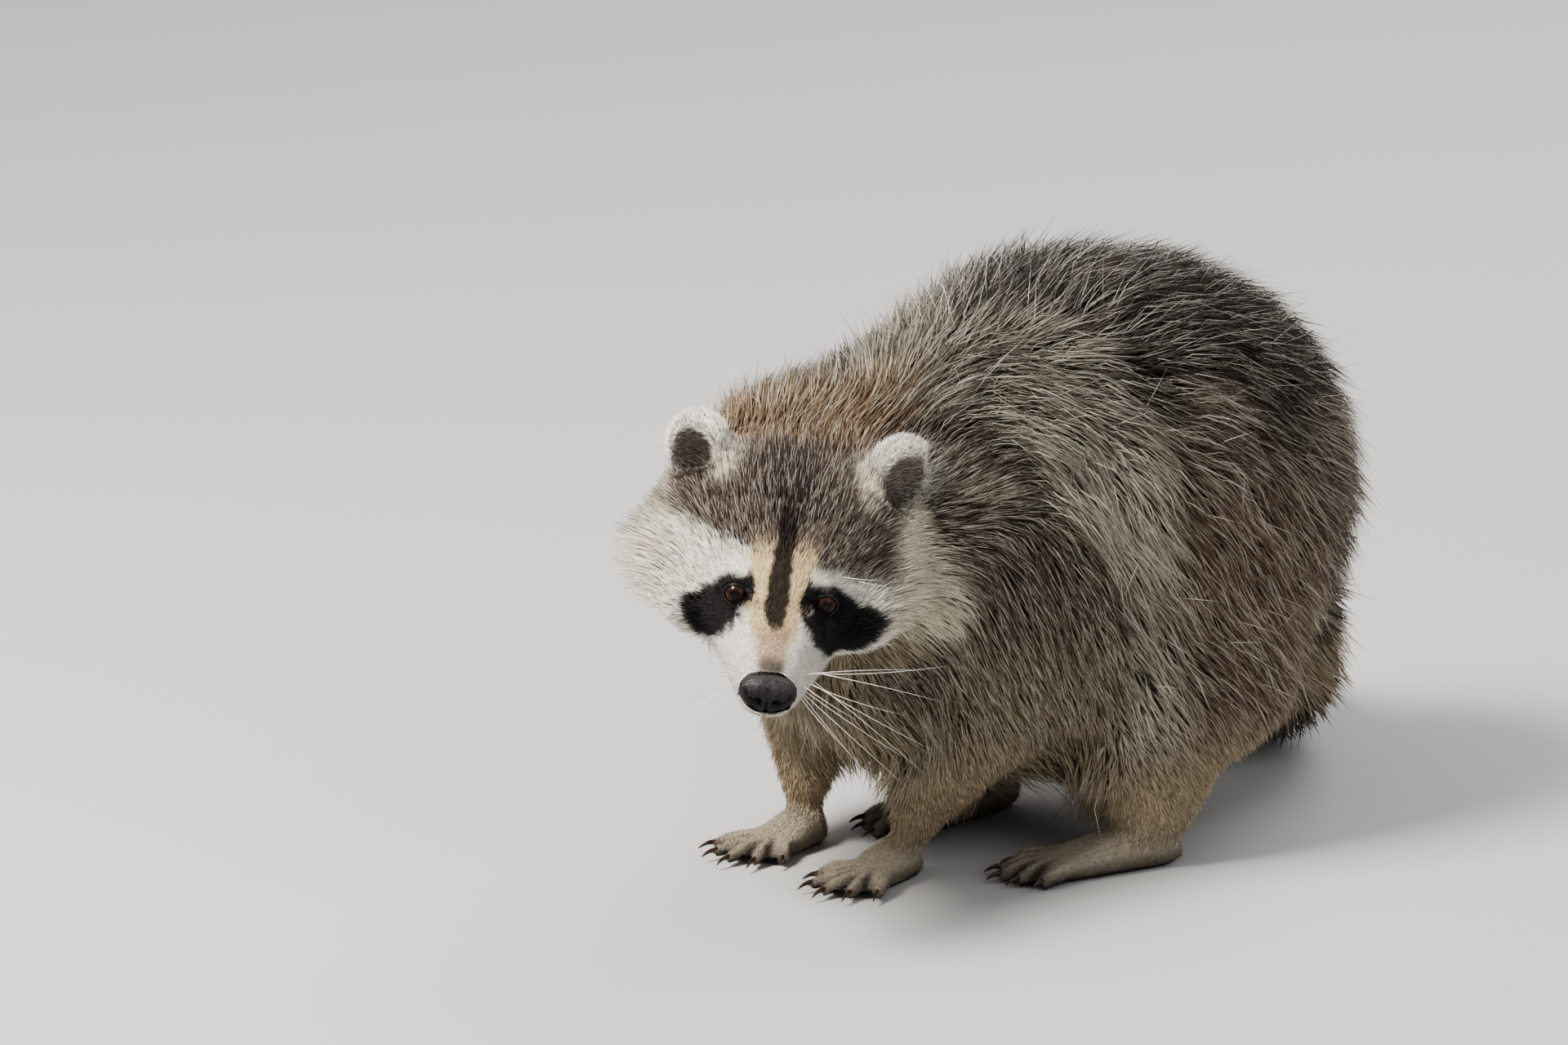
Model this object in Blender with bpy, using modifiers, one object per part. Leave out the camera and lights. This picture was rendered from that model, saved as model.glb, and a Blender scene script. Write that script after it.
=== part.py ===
"""A life-size raccoon, hunched on four feet with its head turned to its left, as a still model.

Units are metres, with +Z up. The trunk faces -Y and the animal's left side is +X.
The solids reach out to the tips of the coat. The flesh is lofted, fused and smoothed as one
body, and thin cuts then part it into the head, neck, trunk, tail and legs.
Lengths below are written in centimetres and scaled by CM.
"""

import math
from collections import namedtuple

import bmesh
import bpy
from mathutils import Matrix, Vector

CM = 0.01
GAP = 0.0003  # between neighbouring solids

# The head's own frame: origin midway between the eyes, facing -Y, its left at +X.
HEAD_AT = (3.4, -5.4, 16.7)
HEAD_TURN = 52  # degrees, to its left
HEAD_NOD = 13  # degrees, nose down
HEAD_ROLL = 8  # degrees, left eye down

EYE_SPREAD = 2.05  # half the distance between the middles of the eyeballs
EYE_RADIUS = 0.66
EYE_DEEP = -0.3  # its middle, behind the line between the visible eyes
EYE_UP = 0.25
EYE_TURN = 20  # degrees, outward
EYE_OPENING_AT = (0.0, -0.75, 0.0)
EYE_OPENING = (0.58, 0.9, 0.46)
EAR_SPREAD, EAR_BACK, EAR_UP = 4.5, 6.9, 3.2
EAR_ACROSS = 0.4  # both ears, towards the animal's left, with the tilt of the head
EAR_RADII = (1.88, 1.3, 2.7)
EAR_HOLLOW = (1.5, 1.5, 2.15)
EAR_HOLLOW_AT = (0.0, -1.05, 0.2)
EAR_LEAN, EAR_OPEN, EAR_TIP_BACK = 20, 26, -8  # degrees
NOSE_AT = (-0.25, -5.05, -2.3)
NOSE_RADII = (1.36, 0.95, 0.95)
NOSTRIL_AT = (0.6, -0.78, -0.12)  # from the middle of the nose
NOSTRIL_RADII = (0.26, 0.42, 0.2)

LOFT_DETAIL = (40, 5)  # sides, and rings for each span between two sections
TORSO_VOXEL, TORSO_PASSES = 0.4, 26  # how far the legs and neck blend into the trunk
HEAD_VOXEL, HEAD_PASSES = 0.26, 7
PAW_VOXEL, PAW_PASSES = 0.15, 3
FLESH_TRIANGLES = 2284

DIGIT_DETAIL = (12, 5)
CUTTER_DETAIL = (8, 1)
DISC_SIDES = 12
BALL_SIDES = 12
SMALL_BALL_SIDES = 9
CLAW_DETAIL = (5, 1)
CLAW_STEPS = 4
CLAW_ROOT = 0.34  # how far a claw's root lies inside its toe
CLAW_HEIGHT, CLAW_WIDTH, CLAW_TIP = 0.19, 0.13, 0.035
CLAW_LEVEL = 0.5  # its root, above the floor
CLAW_TAPER = 0.7
THUMB_CLAW = 0.85  # of the other claws' length
CLAW_RISE, CLAW_FALL = 8, -46  # degrees, its slope at the root and at the tip

UP = Vector((0, 0, 1))
FORWARD = Vector((0, -1, 0))

Section = namedtuple("Section", "centre width rise drop square")
Paw = namedtuple("Paw", "wrist toes palm_width splay digit_radius claw")


def section(x, y, z, width, rise, drop=None, square=2.0):
    """One cross section of a loft: its middle, half width, and heights above and below."""
    return Section(Vector((x, y, z)) * CM, width * CM, rise * CM, (drop or rise) * CM, square)


# The trunk from the chest to the root of the tail, along the body.
TRUNK = (
    section(-3.6, 0.6, 16.4, 5.2, 6.0, 7.4),
    section(-3.6, 4.0, 16.0, 7.6, 9.2, 10.4, 2.1),
    section(-3.5, 8.5, 15.9, 8.9, 10.6, 12.4, 2.2),
    section(-3.4, 13.5, 16.0, 10.2, 12.2, 13.3, 2.3),
    section(-3.3, 18.5, 16.2, 10.9, 12.9, 13.5, 2.3),
    section(-3.4, 23.2, 15.2, 10.4, 12.2, 12.4, 2.2),
    section(-3.6, 27.4, 12.8, 8.6, 9.6, 9.8, 2.1),
    section(-3.8, 30.6, 10.6, 5.8, 6.0, 6.4),
)
NECK = (
    section(-2.8, -1.6, 17.6, 6.2, 5.8, 6.4),
    section(-4.0, 1.2, 17.6, 7.2, 7.4, 8.0),
    section(-4.4, 4.4, 17.0, 7.8, 8.4, 8.8),
    section(-3.9, 8.0, 16.4, 7.8, 9.0, 8.4),
)
TAIL = (
    section(-3.6, 26.0, 12.4, 4.2, 4.2),
    section(-3.3, 30.2, 9.6, 4.3, 4.3),
    section(-4.2, 31.8, 6.0, 3.9, 3.9),
    section(-6.9, 33.8, 4.2, 4.0, 4.1),
    section(-10.8, 35.4, 3.8, 4.1, 4.1),
    section(-15.0, 36.0, 3.7, 4.1, 4.0),
    section(-19.2, 35.2, 3.6, 4.0, 3.9),
    section(-22.8, 33.0, 3.3, 3.6, 3.6),
    section(-25.2, 30.4, 2.9, 2.7, 3.1),
    section(-26.2, 28.8, 2.6, 1.2, 1.5),
)

# The head, in its own frame.
SKULL = (
    section(0, -1.4, -1.3, 2.3, 1.9, 2.2),
    section(0, 0.3, -1.0, 4.0, 3.2, 3.4),
    section(0, 2.4, -0.8, 5.6, 4.5, 4.4),
    section(0, 4.6, -0.6, 6.6, 5.3, 5.2),
    section(0, 6.8, -0.5, 6.8, 5.6, 5.6),
    section(0, 9.2, -0.4, 6.3, 5.3, 5.6),
    section(0, 11.6, -0.4, 4.8, 3.9, 4.2),
)
MUZZLE = (
    section(-0.26, -5.75, -2.55, 0.95, 0.85, 0.8),
    section(-0.24, -5.2, -2.55, 1.35, 1.2, 1.15),
    section(-0.2, -4.1, -2.4, 1.75, 1.7, 1.55),
    section(-0.12, -2.6, -2.15, 2.3, 2.1, 2.1),
    section(0, -0.8, -1.7, 3.0, 2.8, 2.9),
    section(0, 1.6, -1.0, 3.8, 3.3, 3.4),
)
CHEEKS = ((4.1, 3.0, -1.3, 2.6, 3.2, 2.6), (4.8, 5.0, -0.9, 2.75, 3.2, 2.9))  # x y z, radii
BROWS = (2.2, 1.1, 0.9, 1.5, 1.5, 0.9)

# The legs, from inside the trunk to the wrist or heel: left and right of each pair.
LEGS = {
    "foreleg_left": (
        section(0.0, 10.0, 13.0, 4.0, 4.8),
        section(0.9, 8.6, 9.0, 3.6, 4.0),
        section(0.6, 7.4, 6.0, 2.6, 2.9),
        section(-0.4, 6.5, 3.7, 1.7, 1.85),
        section(-1.1, 5.6, 1.8, 1.4, 1.4),
    ),
    "foreleg_right": (
        section(-7.6, 8.8, 13.0, 4.0, 4.8),
        section(-9.1, 7.2, 9.0, 3.5, 3.8),
        section(-9.3, 6.2, 6.0, 2.5, 2.7),
        section(-8.8, 5.8, 3.7, 1.7, 1.8),
        section(-8.2, 5.3, 1.8, 1.4, 1.4),
    ),
    "hindleg_left": (
        section(0.6, 20.8, 14.0, 6.6, 7.6, 8.4),
        section(2.2, 18.0, 9.2, 5.6, 6.8, 8.6),
        section(3.5, 16.6, 5.2, 4.0, 4.6, 6.6),
        section(4.6, 16.4, 2.9, 2.4, 2.6, 3.4),
        section(4.8, 16.2, 1.3, 1.7, 1.8),
    ),
    "hindleg_right": (
        section(-7.6, 20.6, 14.0, 6.6, 7.6, 8.4),
        section(-8.9, 18.0, 9.2, 5.4, 6.8, 8.4),
        section(-8.6, 16.8, 5.2, 3.8, 4.6, 6.2),
        section(-7.8, 16.3, 2.9, 2.4, 2.6, 3.2),
        section(-7.4, 15.9, 1.3, 1.7, 1.8),
    ),
}
# Each paw runs from the wrist or heel to the tip of its middle toe, on the floor.
PAWS = {
    "forefoot_left": Paw((-1.1, 5.6), (-0.1, -0.15), 1.5, 60, 0.43, 0.72),
    "forefoot_right": Paw((-8.2, 5.3), (-7.2, -0.45), 1.5, 60, 0.43, 0.72),
    "hindfoot_left": Paw((4.8, 16.4), (3.0, 8.25), 1.65, 40, 0.48, 0.68),
    "hindfoot_right": Paw((-7.4, 16.2), (-6.45, 7.95), 1.65, 40, 0.48, 0.68),
}
DIGIT_LENGTHS = (0.66, 0.93, 1.0, 0.95, 0.78)  # of the longest, from the inner side out
DIGIT_SHARE = {"fore": 0.52, "hind": 0.38}  # of the paw's length
DIGIT_STOPS = (  # share of the digit's length, height, share of its radius
    (0.0, 0.66, 1.05),
    (0.45, 0.72, 1.0),
    (0.8, 0.5, 0.92),
    (1.0, 0.4, 0.6),
)
KNUCKLE_SPREAD = 0.72  # of the palm's width, for the outermost digits
KNUCKLE_BACK = 0.45  # how far those start behind the middle one
PALM_RISE = {"fore": 1.0, "hind": 1.25}
PALM_STOPS = (  # share of the way to the knuckles, height, share of the palm's width, rise, drop
    (-0.25, 1.2, 0.6, 0.9, 1.1),
    (0.0, 1.0, 0.82, 1.15, 1.12),
    (0.5, 0.7, 0.92, 0.85, 0.8),
    (0.9, 0.55, 1.0, 0.6, 0.65),
    (1.12, 0.45, 0.8, 0.4, 0.5),
)
PALM_SQUARE = 2.3

# What each leg's upper part takes of the flank: an oval disc, its middle and half sizes.
HAUNCHES = {
    "foreleg_left": ((3.4, 9.0, 11.6), (4.6, 4.8, 7.4)),
    "foreleg_right": ((-10.6, 8.4, 11.6), (4.6, 4.8, 7.4)),
    "hindleg_left": ((5.6, 20.4, 11.4), (5.6, 7.6, 9.4)),
    "hindleg_right": ((-12.4, 20.2, 11.4), (5.6, 7.6, 9.4)),
}
SHANK_MARGIN = 0.35
SHANK_START = 1  # the leg's cutter starts at this one of its sections
LOFT_GROWTH = 2  # a loft's facets tilt as it grows, so its clearance grows by more

# Flat cuts: a point on the face, the way into the part, its depth, and how far the box reaches.
PAW_CUT_HEIGHT, PAW_CUT_SLOPE, PAW_CUT_DEPTH = 2.0, 0.06, 4
PAW_CUT_ASIDE, PAW_CUT_BEYOND = 3.0, 1.6
TAIL_CUTS = (
    ("tail_tip", (-19.6, 35.1, 3.6), (-0.9, -0.44, 0), 14, (7, 7)),
    ("tail_middle", (-8.6, 34.6, 4.0), (-1, 0.28, 0), 14, (7, 7)),
    ("tail_root", (-3.6, 30.6, 9.6), (0, 0.6, -0.8), 14, (8, 8)),
)
JAW_CUT = ((0, -3.9, -3.6), (0, 0.08, -1), 3, (3.2, 2.9))  # in the head's frame
HEAD_CUT = ((0, 8.0, 3.0), (0, -1, 0.35), 24, (13, 13))  # in the head's frame
NECK_CUT = ((-3.6, 5.0, 18.0), (0, -1, 0.35), 14, (13, 13))
TRUNK_CUT = ((-3.6, 14.6, 15.0), (0, -1, 0), 24, (16, 16))
FLOOR_CUT = ((0, 10, 0), 10, 100)  # its middle, depth and reach
SHARP_ANGLE = 50  # degrees

FINISH = {  # colour, roughness
    "pelt_grizzled": ((0.30, 0.25, 0.20), 0.9),
    "pelt_face": ((0.62, 0.57, 0.50), 0.9),
    "pelt_ringed": ((0.24, 0.19, 0.15), 0.9),
    "pelt_paw": ((0.55, 0.47, 0.37), 0.85),
    "ear_fur": ((0.72, 0.70, 0.66), 0.9),
    "eye_gloss": ((0.05, 0.025, 0.015), 0.08),
    "nose_leather": ((0.03, 0.03, 0.033), 0.4),
    "claw_horn": ((0.09, 0.065, 0.05), 0.45),
}


def clear_scene():
    for old in list(bpy.data.objects):
        bpy.data.objects.remove(old)


def collection(name):
    made = bpy.data.collections.new(name)
    bpy.context.scene.collection.children.link(made)
    return made


def material(slot):
    """The slot's Principled material, made once."""
    found = bpy.data.materials.get(slot)
    if found:
        return found
    colour, roughness = FINISH[slot]
    made = bpy.data.materials.new(slot)
    made.use_nodes = True
    shader = made.node_tree.nodes["Principled BSDF"]
    shader.inputs["Base Color"].default_value = (*colour, 1)
    shader.inputs["Roughness"].default_value = roughness
    shader.inputs["Metallic"].default_value = 0
    made.diffuse_color = (*colour, 1)
    return made


def object_of(name, mesh, group):
    made = bpy.data.objects.new(name, mesh)
    group.objects.link(made)
    return made


def evaluated(obj):
    """A plain mesh of the object with its modifiers applied."""
    bpy.context.view_layer.update()
    graph = bpy.context.evaluated_depsgraph_get()
    return bpy.data.meshes.new_from_object(obj.evaluated_get(graph))


def apply_modifiers(obj):
    mesh = evaluated(obj)
    obj.modifiers.clear()
    obj.data = mesh


def helper(obj):
    """Marks an object as a cutter or a guide, which isn't a part."""
    obj.hide_render = True
    obj.display_type = "WIRE"
    return obj


def smooth_path(points, steps):
    """Values along a Catmull-Rom curve through the points, steps of them for each span."""
    ends = [2 * points[0] - points[1], *points, 2 * points[-1] - points[-2]]
    for i in range(1, len(ends) - 2):
        before, start, stop, after = ends[i - 1 : i + 3]
        for k in range(steps):
            t = k / steps
            yield 0.5 * (
                2 * start
                + (stop - before) * t
                + (2 * before - 5 * start + 4 * stop - after) * t**2
                + (3 * start - before - 3 * stop + after) * t**3
            )
    yield points[-1]


def ring_points(centre, across, upward, shape, sides):
    """Points of one superellipse ring, its upper and lower halves of their own height."""
    width, rise, drop, square = shape
    for k in range(sides):
        turn = 2 * math.pi * k / sides
        cosine, sine = math.cos(turn), math.sin(turn)
        side = math.copysign(abs(cosine) ** (2 / square), cosine) * width
        height = math.copysign(abs(sine) ** (2 / square), sine) * (rise if sine > 0 else drop)
        yield centre + across * side + upward * height


def loft(name, sections, group, reference=UP, frame=Matrix(), detail=LOFT_DETAIL, grow=0.0):
    """A closed tube through the sections, each square to the path, with reference as its up.

    detail is its sides and its rings for each span; grow makes it larger all round.
    """
    sides, steps = detail
    centres = list(smooth_path([s.centre for s in sections], steps))
    shapes = list(smooth_path([Vector(s[1:]) for s in sections], steps))
    last = len(centres) - 1
    wider = Vector((grow, grow, grow, 0))
    mesh = bmesh.new()
    rings = []
    for i, (centre, shape) in enumerate(zip(centres, shapes)):
        along = (centres[min(i + 1, last)] - centres[max(i - 1, 0)]).normalized()
        across = along.cross(reference).normalized()
        upward = across.cross(along).normalized()
        end_shift = along * grow * ((i == last) - (i == 0))
        points = ring_points(centre + end_shift, across, upward, shape + wider, sides)
        rings.append([mesh.verts.new(p) for p in points])
    for near, far in zip(rings, rings[1:]):
        for k in range(sides):
            after = (k + 1) % sides
            mesh.faces.new((near[k], near[after], far[after]))
            mesh.faces.new((near[k], far[after], far[k]))
    mesh.faces.new(rings[0][::-1])
    mesh.faces.new(rings[-1])
    bmesh.ops.recalc_face_normals(mesh, faces=mesh.faces)
    mesh.transform(frame)
    data = bpy.data.meshes.new(name)
    mesh.to_mesh(data)
    mesh.free()
    return object_of(name, data, group)


def ball(name, centre, radii, group, frame=Matrix(), segments=BALL_SIDES):
    """An ellipsoid, placed in a frame."""
    mesh = bmesh.new()
    bmesh.ops.create_uvsphere(mesh, u_segments=segments, v_segments=segments * 2 // 3, radius=1)
    place = Matrix.Translation(Vector(centre)) @ Matrix.Diagonal((*radii, 1))
    mesh.transform(frame @ place)
    data = bpy.data.meshes.new(name)
    mesh.to_mesh(data)
    mesh.free()
    return object_of(name, data, group)


def disc(name, centre, radii, group):
    """An oval cylinder that lies across the body, its flat ends to the left and right."""
    mesh = bmesh.new()
    bmesh.ops.create_cone(
        mesh, cap_ends=True, segments=DISC_SIDES, radius1=1, radius2=1, depth=2
    )
    size = Matrix.Translation(centre) @ Matrix.Diagonal((*radii, 1))
    mesh.transform(size @ Matrix.Rotation(math.pi / 2, 4, "Y"))
    data = bpy.data.meshes.new(name)
    mesh.to_mesh(data)
    mesh.free()
    return object_of(name, data, group)


def block(name, face_centre, inward, depth, reach, group):
    """A box whose one face is centred at face_centre, and which fills depth along inward."""
    inward = Vector(inward).normalized()
    mesh = bmesh.new()
    bmesh.ops.create_cube(mesh, size=1)
    turn = inward.to_track_quat("Z", "Y").to_matrix().to_4x4()
    size = Matrix.Diagonal((2 * reach[0], 2 * reach[1], depth, 1))
    mesh.transform(Matrix.Translation(Vector(face_centre) + inward * depth / 2) @ turn @ size)
    data = bpy.data.meshes.new(name)
    mesh.to_mesh(data)
    mesh.free()
    return object_of(name, data, group)


def head_frame():
    turn = Matrix.Rotation(math.radians(HEAD_TURN), 4, "Z")
    nod = Matrix.Rotation(math.radians(HEAD_NOD), 4, "X")
    roll = Matrix.Rotation(math.radians(HEAD_ROLL), 4, "Y")
    return Matrix.Translation(Vector(HEAD_AT) * CM) @ turn @ nod @ roll


def fuse(name, pieces, group, voxel, passes):
    """One skin round all the pieces: voxel remeshed, then smoothed."""
    mesh = bmesh.new()
    for piece in pieces:
        mesh.from_mesh(piece.data)
        bpy.data.objects.remove(piece)
    data = bpy.data.meshes.new(name)
    mesh.to_mesh(data)
    mesh.free()
    fused = object_of(name, data, group)
    remesh = fused.modifiers.new("fuse", "REMESH")
    remesh.mode = "VOXEL"
    remesh.voxel_size = voxel * CM
    smooth = fused.modifiers.new("blend", "SMOOTH")
    smooth.factor = 0.5
    smooth.iterations = passes
    apply_modifiers(fused)
    return fused


def boolean(obj, other, operation):
    """Applies one Boolean. EXACT empties the fused body at the haunches, so it is MANIFOLD."""
    cut = obj.modifiers.new(operation.lower(), "BOOLEAN")
    cut.operation = operation
    cut.object = other
    cut.solver = "MANIFOLD"
    apply_modifiers(obj)


def finish(obj, slot):
    """Gives a finished part its material and its shading."""
    obj.data.materials.clear()
    obj.data.materials.append(material(slot))
    obj.data.shade_smooth()
    obj.data.set_sharp_from_angle(angle=math.radians(SHARP_ANGLE))
    return obj


def keep_largest(obj):
    """Drops the crumbs that a cut can leave beside the part itself."""
    mesh = bmesh.new()
    mesh.from_mesh(obj.data)
    left = set(mesh.verts)
    islands = []
    while left:
        island, edge_of_island = set(), [left.pop()]
        while edge_of_island:
            vert = edge_of_island.pop()
            island.add(vert)
            for edge in vert.link_edges:
                other = edge.other_vert(vert)
                if other in left:
                    left.remove(other)
                    edge_of_island.append(other)
        islands.append(island)
    islands.sort(key=len)
    crumbs = [vert for island in islands[:-1] for vert in island]
    bmesh.ops.delete(mesh, geom=crumbs, context="VERTS")
    mesh.to_mesh(obj.data)
    mesh.free()


class Parting:
    """Parts one body into named solids, with a thin gap at every cut."""

    def __init__(self, body, animal, cutters):
        self.body = body
        self.animal = animal
        self.cutters = cutters
        self.parts = {}

    def take(self, name, slot, cutter_of):
        """Moves what lies inside the cutter from the body to a part of its own.

        cutter_of(name, grow) makes the cutter, larger by grow all round.
        """
        part = object_of(name, self.body.data.copy(), self.animal)
        boolean(part, helper(cutter_of(name + "_cutter", 0.0)), "INTERSECT")
        boolean(self.body, helper(cutter_of(name + "_clearance", GAP)), "DIFFERENCE")
        self.keep(part, name, slot)
        return part

    def keep(self, part, name, slot):
        part.name = name
        keep_largest(part)
        self.parts[name] = (part, slot)

    def take_block(self, name, slot, face, inward, depth, reach):
        """Parts off what lies in a box behind a flat face, given in centimetres."""
        inward = Vector(inward).normalized()
        face = Vector(face) * CM

        def cutter_of(cutter_name, grow):
            size = [r * CM + grow for r in reach]
            return block(
                cutter_name, face - inward * grow, inward, depth * CM + 2 * grow, size, self.cutters
            )

        return self.take(name, slot, cutter_of)

    def take_leg(self, name, slot, sections, haunch):
        """Parts off a leg along its own loft, and above it an oval piece of the flank."""
        centre, radii = haunch

        def cutter_of(cutter_name, grow):
            margin = SHANK_MARGIN * CM + LOFT_GROWTH * grow
            cutter = loft(
                cutter_name, sections, self.cutters, FORWARD, detail=CUTTER_DETAIL, grow=margin
            )
            size = [r * CM + grow for r in radii]
            flank = disc(cutter_name + "_flank", Vector(centre) * CM, size, self.cutters)
            boolean(cutter, helper(flank), "UNION")
            return cutter

        return self.take(name, slot, cutter_of)


def paw_lines(name):
    """The paw's forward and outward directions, its length, and each digit's root and way."""
    paw = PAWS[name]
    wrist, toes = Vector((*paw.wrist, 0)), Vector((*paw.toes, 0))
    length = (toes - wrist).length
    forward = (toes - wrist).normalized()
    outward = forward.cross(UP) if name.endswith("right") else UP.cross(forward)
    share = DIGIT_SHARE[name[:4]]
    digits = []
    for i, relative in enumerate(DIGIT_LENGTHS):
        fan = (i - 2) / 2
        root = wrist + forward * (length * (1 - share) - abs(fan) * KNUCKLE_BACK)
        root += outward * fan * paw.palm_width * KNUCKLE_SPREAD
        turn = math.radians(paw.splay / 2) * fan
        way = forward * math.cos(turn) + outward * math.sin(turn)
        digits.append((root, way, length * share * relative))
    return paw, wrist, forward, length, digits


def paw_forms(name, group):
    """The palm and five digits of one paw, sunk a little into the floor."""
    paw, wrist, forward, length, digits = paw_lines(name)
    knuckles = length * (1 - DIGIT_SHARE[name[:4]])
    rise = PALM_RISE[name[:4]]

    palm = []
    for part, z, wide, up, down in PALM_STOPS:
        x, y, _ = wrist + forward * knuckles * part
        palm.append(section(x, y, z, paw.palm_width * wide, up * rise, down, PALM_SQUARE))
    forms = [loft(name + "_palm", palm, group)]
    for i, (root, way, reach) in enumerate(digits):
        digit = []
        for part, z, wide in DIGIT_STOPS:
            x, y, _ = root + way * reach * part
            digit.append(section(x, y, z, paw.digit_radius * wide, paw.digit_radius * wide))
        forms.append(loft(f"{name}_digit_{i + 1}", digit, group, detail=DIGIT_DETAIL))
    return forms


def claw_shape(name, tip, way, length, grow, group):
    """A curved, tapering claw whose root lies inside the toe that ends at tip."""
    place = tip - way * CLAW_ROOT
    place.z = CLAW_LEVEL
    sections = []
    for k in range(CLAW_STEPS + 1):
        part = k / CLAW_STEPS
        taper = (1 - part) ** CLAW_TAPER
        height = CLAW_TIP + (CLAW_HEIGHT - CLAW_TIP) * taper
        width = CLAW_TIP + (CLAW_WIDTH - CLAW_TIP) * taper
        sections.append(section(*place, width, height))
        slope = math.radians(CLAW_RISE + (CLAW_FALL - CLAW_RISE) * part)
        step = (length + CLAW_ROOT) / CLAW_STEPS
        place = place + (way * math.cos(slope) + UP * math.sin(slope)) * step
    return loft(name, sections, group, detail=CLAW_DETAIL, grow=grow)


def ear_frame(side):
    """Middle of the ear, its cup opening forward and outward."""
    lean = Matrix.Rotation(math.radians(EAR_LEAN * side), 4, "Y")
    open_out = Matrix.Rotation(math.radians(EAR_OPEN * side), 4, "Z")
    tip_back = Matrix.Rotation(math.radians(EAR_TIP_BACK), 4, "X")
    place = Vector((side * EAR_SPREAD + EAR_ACROSS, EAR_BACK, EAR_UP)) * CM
    return head_frame() @ Matrix.Translation(place) @ lean @ open_out @ tip_back


def build_flesh(animal):
    """The whole animal but its ears, eyes, nose and claws, as one closed mesh."""
    torso = [loft("trunk_form", TRUNK, animal), loft("neck_form", NECK, animal)]
    for name, sections in LEGS.items():
        torso.append(loft(name + "_form", sections, animal, FORWARD))
    body = fuse("torso", torso, animal, TORSO_VOXEL, TORSO_PASSES)
    head = head_frame()
    upper = [
        body,
        loft("tail_form", TAIL, animal),
        loft("skull_form", SKULL, animal, frame=head),
        loft("muzzle_form", MUZZLE, animal, frame=head),
    ]
    for side in (1, -1):
        for x, y, z, *radii in (*CHEEKS, BROWS):
            centre = Vector((side * x, y, z)) * CM
            upper.append(ball("face_form", centre, [r * CM for r in radii], animal, head))
    body = fuse("upper_body", upper, animal, HEAD_VOXEL, HEAD_PASSES)
    paws = [form for name in PAWS for form in paw_forms(name, animal)]
    body = fuse("flesh", [body, *paws], animal, PAW_VOXEL, PAW_PASSES)
    thin = body.modifiers.new("thin", "DECIMATE")
    body.data.calc_loop_triangles()
    thin.ratio = FLESH_TRIANGLES / len(body.data.loop_triangles)
    apply_modifiers(body)
    return body


def level_soles(body, cutters):
    """Cuts off what lies below the floor, which leaves small flats at one level."""
    face, depth, reach = FLOOR_CUT
    size = (reach * CM, reach * CM)
    under = block("floor_cutter", Vector(face) * CM, -UP, depth * CM, size, cutters)
    boolean(body, helper(under), "DIFFERENCE")


def add_paws(parting):
    """Parts off each paw, and gives each of its digits a claw in a pocket."""
    for name in PAWS:
        paw, wrist, forward, length, digits = paw_lines(name)
        face = wrist + UP * PAW_CUT_HEIGHT + forward * length / 2
        inward = forward * PAW_CUT_SLOPE - UP
        reach = (PAW_CUT_ASIDE, length / 2 + PAW_CUT_BEYOND)
        foot = parting.take_block(name, "pelt_paw", face, inward, PAW_CUT_DEPTH, reach)
        for i, (root, way, reach) in enumerate(digits):
            tip = root + way * reach
            size = paw.claw * (THUMB_CLAW if i == 0 else 1.0)
            claw = claw_shape(f"claw_{name}_{i + 1}", tip, way, size, 0.0, parting.animal)
            pocket = claw_shape(claw.name + "_pocket", tip, way, size, GAP, parting.cutters)
            boolean(foot, helper(pocket), "DIFFERENCE")
            parting.parts[claw.name] = (claw, "claw_horn")


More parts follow.
